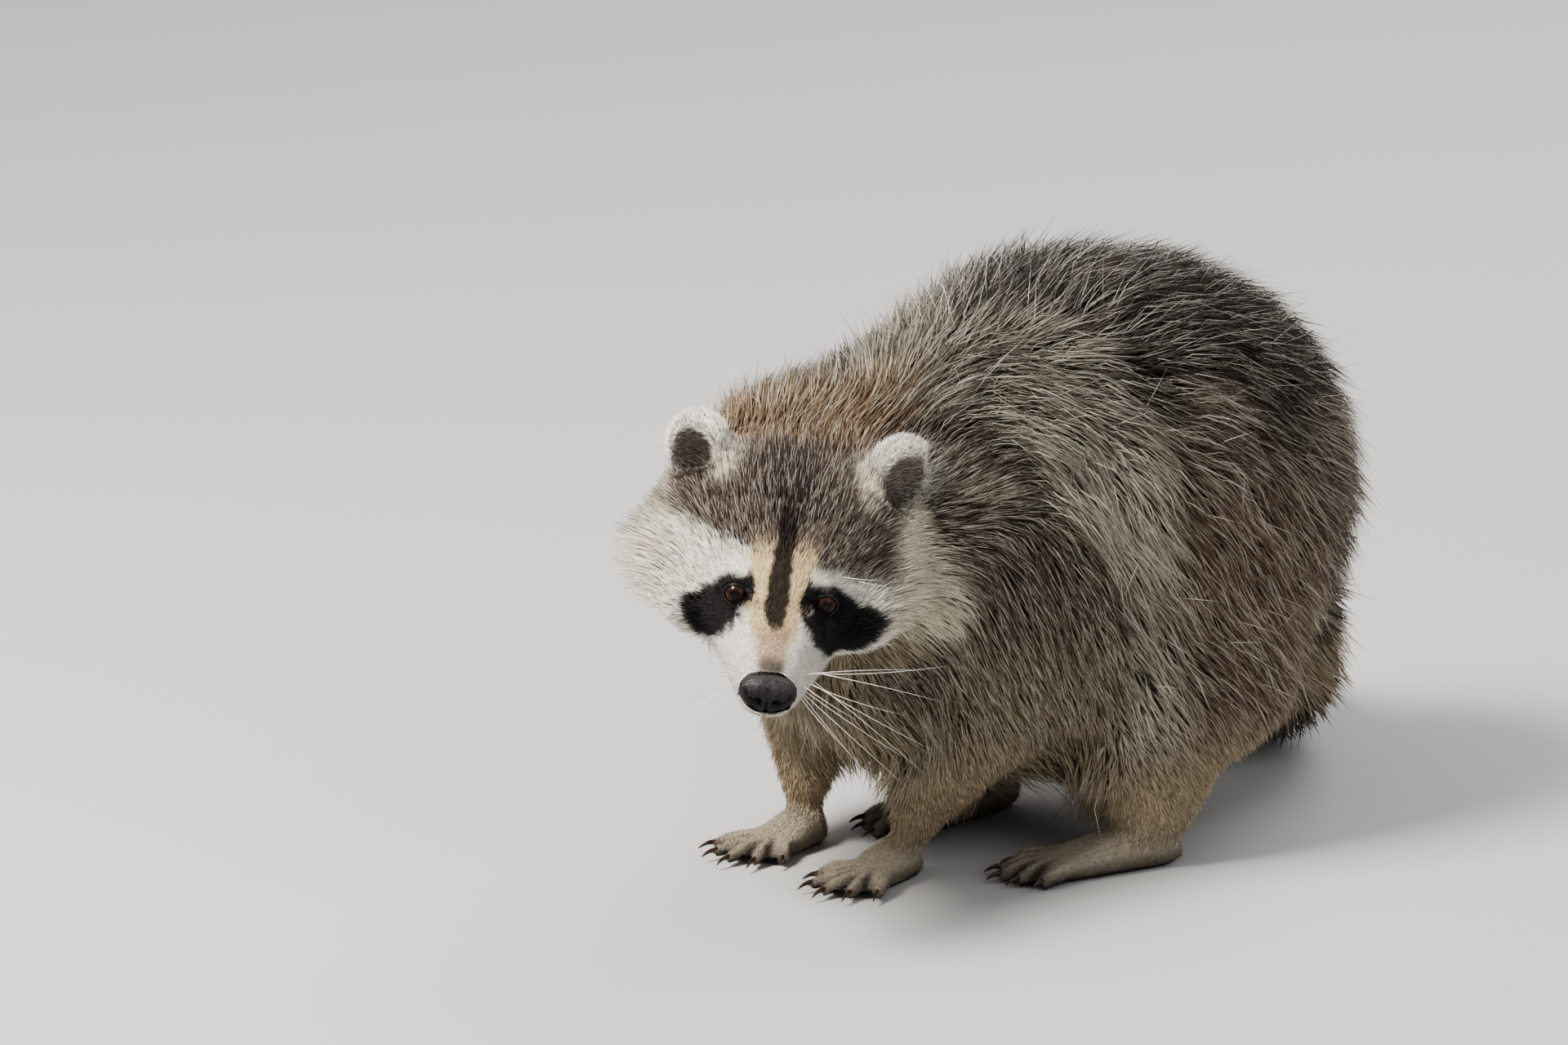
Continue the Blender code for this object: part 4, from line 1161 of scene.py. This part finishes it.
def coat_shades(roots, marks, clump, stops, contrast=1.0):
    """Shades along each hair: darker at the root, as painted shade deep in the coat, and banded where the
    coat is grizzled.
    """
    rng, count = roots.rng, roots.count
    kind = rng.uniform(0, 1, count)
    pale = (kind < marks.pale)[:, None]
    dark = (kind > marks.pale + 0.34)[:, None]
    tone = rng.uniform(0.86, 1.14, clump.max() + 1)[clump][:, None]
    base = marks.colour * tone * rng.uniform(0.86, 1.14, (count, 1))
    share = marks.grain[:, None] * contrast
    bright = mix(base, TICK_PALE, 0.72)
    tip = np.where(pale, bright, np.where(dark, base * 0.36, base))
    tip = base + (tip - base) * share
    # Darker roots: painted shade deep in the coat, darker still where the coat is grizzled.
    root = base * (0.78 - 0.2 * share)
    levels = np.linspace(0, 1, stops)[None, :, None]
    shades = root[:, None] + (base - root)[:, None] * step(levels, 0.0, 0.45)
    return shades + (tip - base)[:, None] * step(levels, 0.3, 0.75)


LIP_BARE, SOLE_BARE = 0.09, 0.0035  # cm from the mouth's line, and metres from the floor


def bare_places(skin):
    """1 where no hair grows: round the eyes, under the nose pad, on the lips and soles."""
    points = skin.points
    q = to_head(points)
    bare = np.zeros(len(q), bool)
    for eye in EYES:
        distance, off, round_it = eye.polar(points)
        bare |= (distance < 0.012) & (np.degrees(off - lid_edge(round_it)) < 9)
    bare |= gap_to(q, NOSE_IN_HEAD, NOSE_BARE) < 1
    bare |= (np.abs(q[:, 2] - mouth_height(q[:, 1])) < LIP_BARE) & (q[:, 1] < MOUTH_CORNER)
    return bare | ((points[:, 2] < SOLE_BARE) & (skin.weights[:, FOOT] > 0.4))


# How one region's hair grows, by the depth of the coat there in mm.
Growth = namedtuple(
    "Growth", "dense length wide rise fall bends pull every slot spread droop", defaults=(0.12, 0.0)
)
# Hairs for each cm2 and their length and width in mm, by the depth of the coat in mm.
GROWTH = {
    "face_short": Growth(
        ((1.2, 430), (2.2, 420), (3.6, 330)), ((1.2, 3.0), (2.2, 4.0), (3.6, 6.2)),
        ((1.2, 0.34), (3.6, 0.42)), 30, 14, 1, 0.12, 6, "pelt_face", 0.1,
    ),
    "face_long": Growth(
        ((3.6, 172), (6, 112), (9, 84), (15, 62)), ((3.6, 6.8), (7.5, 13.5), (12, 23), (15, 27)),
        ((3.6, 0.42), (8, 0.5), (15, 0.6)), 40, 15, 2, 0.3, 9, "pelt_face", 0.14,
    ),
    "neck": Growth(
        ((8, 60), (17, 42)), ((8, 15), (17, 33)), ((8, 0.6), (17, 0.76)), 45, 18, 2, 0.32, 9,
        "pelt_grizzled", 0.14, 0.03,
    ),
    "trunk": Growth(
        ((10, 40), (20, 33)), ((10, 22), (20, 41)), ((10, 0.72), (20, 0.82)), 45, 17, 2, 0.36, 12,
        "pelt_grizzled", 0.21, 0.05,
    ),
    "foreleg": Growth(
        ((2, 120), (5, 64), (11, 30)), ((2, 5.5), (5, 9.5), (11, 25)), ((2, 0.46), (11, 0.78)), 38, 15,
        2, 0.3, 9, "pelt_grizzled", 0.16, 0.04,
    ),
    "hindleg": Growth(
        ((2, 100), (5, 56), (10, 28), (16, 24)), ((2, 5.5), (5, 9.5), (10, 21), (16, 35)),
        ((2, 0.46), (16, 0.84)), 42, 16, 2, 0.34, 10, "pelt_grizzled", 0.2, 0.05,
    ),
    "foot": Growth(
        ((1, 175), (3, 155)), ((1, 2.7), (1.6, 4.4), (3, 7)), ((1, 0.4), (3, 0.5)), 20, 9, 1, 0.18, 7,
        "pelt_paw", 0.14,
    ),
    "tail": Growth(
        ((8, 26), (18, 19)), ((8, 17), (18, 33)), ((8, 0.88), (18, 1.04)), 38, 24, 2, 0.25, 9,
        "pelt_ringed", 0.15,
    ),
    "ear": Growth(
        ((0.5, 180), (2, 165)), ((0.5, 5.2), (2, 6.2)), ((0.5, 0.42), (2, 0.46)), 40, 22, 2, 0.3, 8,
        "ear_fur", 0.16,
    ),
}
FACE_LONG_FROM = 3.6  # mm of coat
BELLY_THIN = 0.45


def coat_regions(skin):
    """The share of each growth at each point of the skin."""
    depth = skin.depth * 1000
    shares = {name: skin.weights[:, k] for k, name in enumerate(REGIONS) if name != "face"}
    long = depth > FACE_LONG_FROM
    shares["face_short"] = skin.weights[:, FACE] * ~long
    shares["face_long"] = skin.weights[:, FACE] * long
    return shares


def belly_thinned(skin, density):
    """Fewer hairs under the body."""
    return density * (1 - BELLY_THIN * step(-skin.up[:, 2], 0.3, 0.8))


LENGTH_VARIES, WIDTH_VARIES = (0.68, 1.12), (0.75, 1.15)
RISE_VARIES, FALL_VARIES = 5, 4  # degrees
LEGS_FLAT = 0.4  # how much flatter the short hair of the legs lies
RUFF_RISE = (12, 15)  # degrees more than the rest of the face, at the root and at the tip
BRUSH_RISE = 16
PATCHES = 0.006  # metres across the patches by which the markings' edges wander
SKIN_SEEN_AT = 0.8  # of the coat's depth, where the skin takes its markings


def cheek_ruff(q):
    """1 where the long hair of the cheeks stands out."""
    x, y, z = np.abs(q[:, 0]), q[:, 1], q[:, 2]
    return step(x, 4.2, 5.6) * step(y, 0.5, 2.5) * until(y, 7, 9) * until(z, 2, 4)


def ear_brush(e):
    """1 where the hair stands up before the foot of each cup, for places from ear_places."""
    near = np.minimum(gap_to(e, EAR_BRUSH_AT, EAR_BRUSH_SIZE), gap_to(e, *EAR_RIM_FEET[0]))
    return until(near, 0.5, 1.0)


def main_coat(skin, material):
    """The whole coat, region by region."""
    depth = skin.depth * 1000
    grows = ~bare_places(skin)
    for seed, (name, share) in enumerate(coat_regions(skin).items(), 20):
        growth = GROWTH[name]
        density = along(depth, growth.dense) * CM2 * share * grows
        length = along(depth, growth.length)
        if name in ("trunk", "neck", "hindleg", "foreleg"):
            density = belly_thinned(skin, density)
        elif name == "ear":
            density, length = ear_density(skin, density, length)
        elif name == "face_long":
            density = density * (1 + 0.15 * ear_brush(ear_places(skin.points)))
        roots = scatter(skin, density, seed, length)
        rng, count = roots.rng, roots.count
        length = roots.length / 1000 * rng.uniform(*LENGTH_VARIES, count)
        width = along(roots.depth * 1000, growth.wide) / 1000 * rng.uniform(*WIDTH_VARIES, count)
        flat = 1 - LEGS_FLAT * until(roots.depth, 0.002, 0.008) * ("leg" in name)
        ruff = cheek_ruff(to_head(roots.p)) * (name == "face_long")
        brush = ear_brush(ear_places(roots.p)) * name.startswith("face")
        rise = growth.rise * flat + rng.normal(size=count) * RISE_VARIES
        rise = rise + RUFF_RISE[0] * ruff + BRUSH_RISE * brush
        fall = growth.fall * flat + rng.normal(size=count) * FALL_VARIES
        fall = fall + RUFF_RISE[1] * ruff + BRUSH_RISE * brush
        length = length * (1 + 0.05 * ruff) * (1 - 0.2 * brush)
        path = grow_paths(skin, roots, length, rise, fall, growth.bends, growth.droop, growth.spread)
        path, clump = clumped(roots, path, growth.every, growth.pull)
        path = keep_in_room(keep_above_floor(path, rng), 0.7, 1)
        shown = path[:, -1] * 0.6 + path[:, -2] * 0.4
        jitter = waves(shown, PATCHES, 31) + rng.normal(size=count) * 0.5
        marks = markings(shown, roots.n, roots.weights, jitter)
        shades = coat_shades(roots, marks, clump, growth.bends + 1)
        shape = (0.85,) if growth.bends == 1 else (0.95, 0.78)
        coat_pieces("coat_" + name, roots, path, width, shape, shades, material, growth.slot)


def ear_density(skin, density, length):
    """Longer fur on the rim and thin, light hairs inside the cup."""
    e = ear_places(skin.points)
    hollow = ear_hollow(e)
    inside = until(hollow, 0.7, 0.98) * (e[:, 1] < 0.9)
    rim = step(hollow, 0.9, 1.05) * until(e[:, 1], 0.3, 0.9)
    base = until(e[:, 2], -1.9, -0.7)
    length = length * (1 + 0.1 * inside) * (1 + 0.15 * rim) * (1 + 0.8 * base)
    front = step(-e[:, 0], 0.4, 1.3) * until(e[:, 2], -0.6, 1.0) * until(e[:, 1], 0.2, 0.8)
    return density * (1 - 0.5 * inside + 0.3 * rim), length * (1 + 0.7 * front)


def bent_twice(skin, roots, length, rise, fall, spread, turns):
    """Paths of hairs with two bends, shortened in turns to keep in the room, and their tips' marks."""
    path = grow_paths(skin, roots, length, rise, fall, 2, 0.03, spread)
    path = keep_in_room(keep_above_floor(path, roots.rng), 0.8, turns)
    return path, markings(path[:, -1], roots.n, roots.weights, np.zeros(roots.count))


STRAY_DENSITY, STRAY_LONG, STRAY_WIDE = 1.7, (0.034, 0.05), 0.00042  # each cm2, and metres
STRAY_RISE, STRAY_FALL, STRAY_SPREAD = 30, 12, 0.42
STRAY_PALE = srgb(236, 231, 220)


def stray_hairs(skin, material):
    """Thin, long and pale guard hairs that cross the rest of the coat."""
    shares = skin.weights[:, NECK:FORELEG].sum(axis=1) + 0.8 * skin.weights[:, HINDLEG]
    deep = step(skin.depth * 1000, 9, 14)
    density = STRAY_DENSITY * CM2 * shares * deep * step(skin.up[:, 2], -0.5, 0.0)
    roots = scatter(skin, density, 83, skin.depth)
    rng, count = roots.rng, roots.count
    length = rng.uniform(*STRAY_LONG, count)
    rise = STRAY_RISE + rng.normal(size=count) * 8
    fall = rise + STRAY_FALL - STRAY_RISE
    path, marks = bent_twice(skin, roots, length, rise, fall, STRAY_SPREAD, 6)
    # A darker root: painted shade deep in the coat.
    root = marks.colour * 0.7
    pale = mix(marks.colour, STRAY_PALE, rng.uniform(0.5, 1.0, count))
    shades = np.stack([root, mix(root, pale, 0.8), pale], axis=1)
    width = STRAY_WIDE * rng.uniform(0.8, 1.2, count)
    coat_pieces("coat_guard", roots, path, width, (0.9, 0.8), shades, material, "pelt_grizzled")


UNDERCOAT_DENSITY, UNDERCOAT_WIDE, UNDERCOAT_RISE = 4.4, 2.4, 44  # tufts each cm2, mm, degrees
UNDERCOAT_LONG, UNDERCOAT_SHADE = 1.25, 0.82  # of the coat's depth, and of its colour


def undercoat(skin, material):
    """Broad soft tufts below the guard hairs, where the coat is deep."""
    shares = skin.weights[:, NECK:FOOT].sum(axis=1) + skin.weights[:, TAIL]
    density = UNDERCOAT_DENSITY * CM2 * shares * step(skin.depth * 1000, 6, 10)
    roots = scatter(skin, belly_thinned(skin, density), 61, skin.depth)
    rng, count = roots.rng, roots.count
    length = roots.depth * UNDERCOAT_LONG * rng.uniform(0.8, 1.15, count)
    rise = UNDERCOAT_RISE + rng.normal(size=count) * 5
    path, marks = bent_twice(skin, roots, length, rise, rise - 20, 0.16, 0)
    shades = coat_shades(roots, marks, np.arange(count), 3, 0.3) * UNDERCOAT_SHADE
    width = UNDERCOAT_WIDE / 1000 * rng.uniform(0.7, 1.2, count)
    coat_pieces("coat_underfur", roots, path, width, (0.9, 0.95), shades, material, "pelt_grizzled")


# ---------------- nose, mouth, whiskers, claws

NOSE_RADII = np.array((1.36, 0.95, 0.95))  # cm
NOSTRILS = (  # cm across and up from the nose's middle, and the reach of the dip there
    (0.52, -0.3, 0.24), (0.74, -0.3, 0.17), (0.92, -0.14, 0.13), (1.04, 0.06, 0.1), (1.08, 0.24, 0.08),
)
NOSE_BLACK, NOSE_GREY, NOSE_PAINTED_SHADE = srgb(27, 25, 26), srgb(78, 72, 71), srgb(5, 4, 4)


def make_nose(material):
    """The nose pad: a flattened ball with comma-shaped nostrils and a groove down its middle."""
    rows, columns = 80, 112
    off, round_it = (angle.ravel() for angle in ball_angles(rows, columns, 0.01))
    way = np.stack([np.sin(off) * np.cos(round_it), -np.cos(off), np.sin(off) * np.sin(round_it)], axis=1)
    x, y, z = way.T
    wide = 1 - 0.12 * step(-z, 0.1, 1.0) + 0.05 * step(z, 0.0, 0.5) * until(z, 0.5, 1.0)
    shape = way * NOSE_RADII
    shape[:, 0] *= wide
    ahead = step(-y, 0.0, 0.35)
    shape[:, 1] += 0.16 * ahead * until(np.hypot(x, z), 0.2, 0.8)
    shape[:, 1] += 0.1 * ahead * np.exp(-((x / 0.16) ** 2))
    dip = np.zeros(len(x))
    for across, up, reach in NOSTRILS:
        gap = np.hypot(np.abs(shape[:, 0]) - across, shape[:, 2] - up * 0.9)
        dip = np.maximum(dip, np.exp(-((gap / reach) ** 2)) * min(1.0, 0.3 + 3 * reach))
    dip = dip * step(-y, -0.25, 0.1)
    inward = unit(shape * (1, 1.6, 1))
    shape -= inward * (dip * 0.42)[:, None]
    groove = np.exp(-((x * NOSE_RADII[0]) / 0.07) ** 2) * step(-z, -0.15, 0.25) * ahead
    shape -= inward * (groove * 0.1)[:, None]
    pebble = waves(shape, 0.16, 50, 24) * 0.012 + waves(shape, 0.09, 51, 24) * 0.007
    shape += inward * (pebble * (1 - dip))[:, None]
    points = from_head(shape + NOSE_IN_HEAD)
    grey = mix(NOSE_BLACK, NOSE_GREY, np.clip(0.4 * step(z, 0.0, 0.8) + 0.1 * pebble / 0.012, 0, 1))
    # The nostrils and the groove down the middle are painted near black: painted shade in their hollows.
    colour = mix(grey, NOSE_PAINTED_SHADE, np.clip(dip * 1.3 + groove * 0.6, 0, 1))
    made = piece("nose_pad", material, "nose_leather", points, grid_faces(rows, columns), colour)
    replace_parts(made, "nose")


MOUTH_CORNER, MOUTH_TURN = -1.0, (-0.22, -4.3)  # cm along the head; and across and along it


def mouth_height(y):
    """Height of the mouth's line in the head's frame."""
    return -3.42 + 0.1 * step(y, -3.2, MOUTH_CORNER) + 0.02 * (y + 5)


def tube(line, widths, sides, flat=1.0):
    """A closed tapering tube along a line, as points and faces."""
    way = unit(np.gradient(line, axis=0))
    side = unit(np.cross(way, (0, 0, 1.0)))
    over = np.cross(side, way)
    turn = np.linspace(0, 2 * math.pi, sides, endpoint=False)
    ring = np.cos(turn)[None, :, None] * side[:, None] + flat * np.sin(turn)[None, :, None] * over[:, None]
    points = (line[:, None] + ring * widths[:, None, None] / 2).reshape(-1, 3)
    return points, grid_faces(len(line), sides)


def make_mouth(skin, material):
    """Dark lips along the mouth's line, laid on the skin from corner to corner."""
    tree = BVHTree.FromPolygons(skin.points.tolist(), skin.quads.tolist())
    line = []

    def cast(start, way):
        hit = tree.ray_cast(Vector(from_head(start)), Vector(HEAD_TURNED @ np.asarray(way, float)), 0.08)
        if hit[0] is not None:
            line.append(np.array(hit[0]))

    along_side = np.linspace(MOUTH_CORNER, MOUTH_TURN[1], 18)
    for y in along_side:
        cast((-6, y, mouth_height(y)), (1, 0, 0))
    for angle in np.radians(np.linspace(-80, 80, 19)):
        way = np.array((-math.sin(angle), math.cos(angle), 0))
        cast(np.array((*MOUTH_TURN, mouth_height(MOUTH_TURN[1]))) - way * 4, way)
    for y in along_side[::-1]:
        cast((6, y, mouth_height(y)), (-1, 0, 0))
    line = np.array(line)
    for _ in range(3):
        line[1:-1] = line[1:-1] * 0.5 + (line[:-2] + line[2:]) * 0.25
    ends = np.sin(np.linspace(0, math.pi, len(line))) ** 0.4
    points, faces = tube(line, 0.0002 + 0.0013 * ends, 8, flat=0.8)
    colour = np.broadcast_to(LIP_BLACK, points.shape)
    piece("lips", material, "pelt_face", points, faces, colour)


WHISKERS = (  # roots on the left cheek pad in cm, length in cm, degrees outward, up and back
    (1.95, -3.9, -1.75, 9.0, 62, 26), (2.05, -3.4, -1.9, 9.5, 66, 15), (2.1, -3.0, -2.1, 9.0, 70, 4),
    (1.9, -3.9, -2.1, 8.5, 58, -4), (1.95, -3.5, -2.3, 8.0, 62, -12), (2.0, -3.0, -2.5, 7.5, 66, -20),
    (1.75, -4.2, -2.35, 7.0, 50, -16), (1.7, -4.0, -2.65, 6.5, 54, -28), (1.75, -3.6, -2.9, 6.0, 58, -38),
    (1.6, -4.4, -2.1, 5.0, 44, -4), (1.55, -4.4, -2.6, 4.5, 46, -24), (3.1, 0.4, 1.3, 2.4, 62, 14),
    (3.5, 0.7, 1.1, 2.0, 70, 4),
)
WHISKER_WIDE, WHISKER_STOPS, WHISKER_SIDES = 0.00046, 14, 5
ROOM_SHARE, ROOM_MORE, ROOM_SPARE = 0.03, 0.010, 0.002  # past the solids' box, on each side


def in_room(points):
    """Whether lines of points stay within a margin round the solids' box."""
    low, high = (np.array(corner) for corner in CAD_BOX)
    more = (high - low) * ROOM_SHARE + ROOM_MORE - ROOM_SPARE
    return ((points > low - more) & (points < high + more)).all(axis=(-2, -1))


def make_whiskers(skin, material):
    """Long tapering bristles from the cheek pads and brows, bent back and down by their weight."""
    all_points, all_faces = [], []
    rng = np.random.default_rng(70)
    for side in (-1, 1):
        for x, y, z, length, out, up in WHISKERS:
            shift = rng.normal(size=3) * 0.08
            root = from_head(np.array((side * x - 0.15, y, z)) + shift)
            root = skin.points[nearest_in(skin.tree, [root])[0]]
            out += rng.normal() * 5
            up += rng.normal() * 4
            length = length * rng.uniform(0.85, 1.08) / 100
            way = HEAD_TURNED @ toward(side * out, up)
            back = HEAD_TURNED @ np.array((side * 0.12, 0.9, -0.42 + rng.normal() * 0.14))
            t = np.linspace(0, 1, WHISKER_STOPS)[:, None]
            for bend in np.linspace(0.36, 0.8, 14):
                line = root + way * length * t + back * length * bend * t**2
                if in_room(line):
                    break
                length *= 0.93
            points, faces = tube(line, WHISKER_WIDE * (1 - 0.9 * t[:, 0] ** 1.2), WHISKER_SIDES)
            all_faces.append(faces + len(all_points) * len(points))
            all_points.append(points)
    arrays = np.concatenate(all_points), np.concatenate(all_faces)
    piece("whiskers", material, "pelt_face", *arrays)


def make_claws(material):
    """Smooth claws over the solid ones, a foot at a time."""
    for foot in FEET:
        names = [claw for claw in CLAWS if foot in claw]
        joined = bmesh.new()
        for name in names:
            joined.from_mesh(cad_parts[name].data)
        bmesh.ops.remove_doubles(joined, verts=joined.verts, dist=1e-6)
        mesh = mesh_from("claws_" + foot, joined)
        mesh.shade_smooth()
        made = piece("claws_" + foot, material, "claw_horn", mesh)
        rounder = made.modifiers.new("round", "SUBSURF")
        rounder.levels = rounder.render_levels = 2
        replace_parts(made, *names)


# ---------------- floor, lights, camera

CAMERA_AZIMUTH, CAMERA_ELEVATION, CAMERA_DISTANCE = 52, 15, 5.0
SENSOR, LENS = 36, 239.06  # mm
AIM_ACROSS, AIM_UP = -0.0196, 0.1816  # from the toes of the left forefoot
LIGHTS = (  # name, azimuth and elevation in degrees, distance and size in metres, watts, colour
    ("key", -8, 52, 2.6, 0.9, 115, (1.0, 0.97, 0.93)),
    ("fill", 100, 30, 3.0, 2.2, 24, (0.93, 0.96, 1.0)),
    ("back", 200, 42, 2.8, 1.6, 40, (1, 1, 1)),
)
LIT_HEIGHT, FLOOR_HALF = 0.12, 14  # metres: where the lights aim, and half the floor's width
SKY = ((0.03, (0.42, 0.42, 0.415)), (0.35, (0.84, 0.86, 0.88)))  # from the horizon up
FLOOR_GREY = (0.52, 0.51, 0.49, 1)


def look_back(data, aim, azimuth, elevation, distance):
    """A camera or light that looks at its aim from a way and a distance."""
    back = Vector(toward(azimuth, elevation))
    made = link(bpy.data.objects.new(data.name, data))
    made.location = aim + back * distance
    made.rotation_mode = "QUATERNION"
    made.rotation_quaternion = (-back).to_track_quat("-Z", "Y")
    return made


def make_camera():
    a = math.radians(CAMERA_AZIMUTH)
    right = Vector((math.cos(a), math.sin(a), 0))
    up = Vector(toward(CAMERA_AZIMUTH, CAMERA_ELEVATION)).cross(right)
    data = bpy.data.cameras.new("camera")
    data.sensor_width, data.lens = SENSOR, LENS
    data.clip_start, data.clip_end = 0.1, 60
    aim = Vector(STANCE) + right * AIM_ACROSS + up * AIM_UP
    camera = look_back(data, aim, CAMERA_AZIMUTH, CAMERA_ELEVATION, CAMERA_DISTANCE)
    bpy.context.scene.camera = camera


def make_studio():
    """A pale floor under soft lights, and a sky that meets it in the same grey."""
    grid = bmesh.new()
    bmesh.ops.create_grid(grid, x_segments=1, y_segments=1, size=FLOOR_HALF)
    data = mesh_from("floor", grid)
    floor = link(bpy.data.objects.new("floor", data))
    look = Look("floor_pale", 0.85, 0.2)
    fill(look.shader, Base_Color=FLOOR_GREY)
    data.materials.append(look.material)
    for name, azimuth, elevation, distance, size, power, colour in LIGHTS:
        data = bpy.data.lights.new(name, "AREA")
        data.energy, data.size, data.color = power, size, colour
        look_back(data, Vector((0, 0, LIT_HEIGHT)), azimuth, elevation, distance)
    world = bpy.data.worlds.new("studio")
    world.use_nodes = True
    nodes, links = world.node_tree.nodes, world.node_tree.links
    place = nodes.new("ShaderNodeTexCoord")
    parts = nodes.new("ShaderNodeSeparateXYZ")
    links.new(place.outputs["Generated"], parts.inputs["Vector"])
    colour = ramp_node(nodes, links, SKY, parts.outputs["Z"])
    links.new(colour, nodes["Background"].inputs["Color"])
    fill(nodes["Background"], Strength=0.5)
    scene = bpy.context.scene
    scene.world = world
    scene.view_settings.view_transform = "AgX"
    scene.view_settings.look = "AgX - Medium High Contrast"


# ---------------- build

skin = make_skin()
outer = skin.points + skin.up * (skin.depth * SKIN_SEEN_AT)[:, None]
skin_marks = markings(outer, skin.up, skin.weights, waves(outer, PATCHES, 31))
# The skin is painted darker where the coat over it is deep, as shade under the coat, and darker on the feet
# so that their hairs stand out.
painted_shade_and_dark_feet = 0.92 - 0.4 * step(skin.depth, 0.004, 0.014) - 0.25 * skin.weights[:, FOOT]
skin_mesh = thinned(skin, np.clip(skin_marks.colour * painted_shade_and_dark_feet[:, None], 0, 1))
under_coat = marked_material("skin_under_coat", 0.8, 0.2, 0, (900, 0.75, 1.15), (1400, 5, 0.5, 0.0008))
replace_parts(piece("raccoon_skin", under_coat, "pelt_grizzled", skin_mesh), *FLESH)
coat_hair = marked_material("coat_hair", 0.55, 0.3, 0, (260, 0.88, 1.12))
main_coat(skin, coat_hair)
undercoat(skin, coat_hair)
stray_hairs(skin, coat_hair)
wet_eye = marked_material("eye_wet", 0.6, 0.05, 0.4, (2500, 0.85, 1.15))
wet_lid = marked_material("lid_wet", 0.45, 0.3, 0.15, (2500, 0.85, 1.15), (2500, 3, 0.3, 0.0003))
for eye in EYES:
    make_eyeball(eye, wet_eye)
    make_lids(eye, wet_lid)
leather = marked_material("nose_leather", 0.52, 0.3, 0.06, (2200, 0.85, 1.15), (2200, 3, 0.7, 0.0003))
make_nose(leather)
make_mouth(skin, wet_lid)
whisker_ends = (0.3, srgb(214, 208, 196)), (0.7, srgb(250, 247, 240))
make_whiskers(skin, horn_material("whisker_white", *whisker_ends, 300, 0.35, 0.1))
claw_ends = (0.3, srgb(30, 22, 18)), (0.75, srgb(82, 62, 48))
make_claws(horn_material("claw_horn", *claw_ends, 420, 0.32, 0.25))
make_camera()
make_studio()
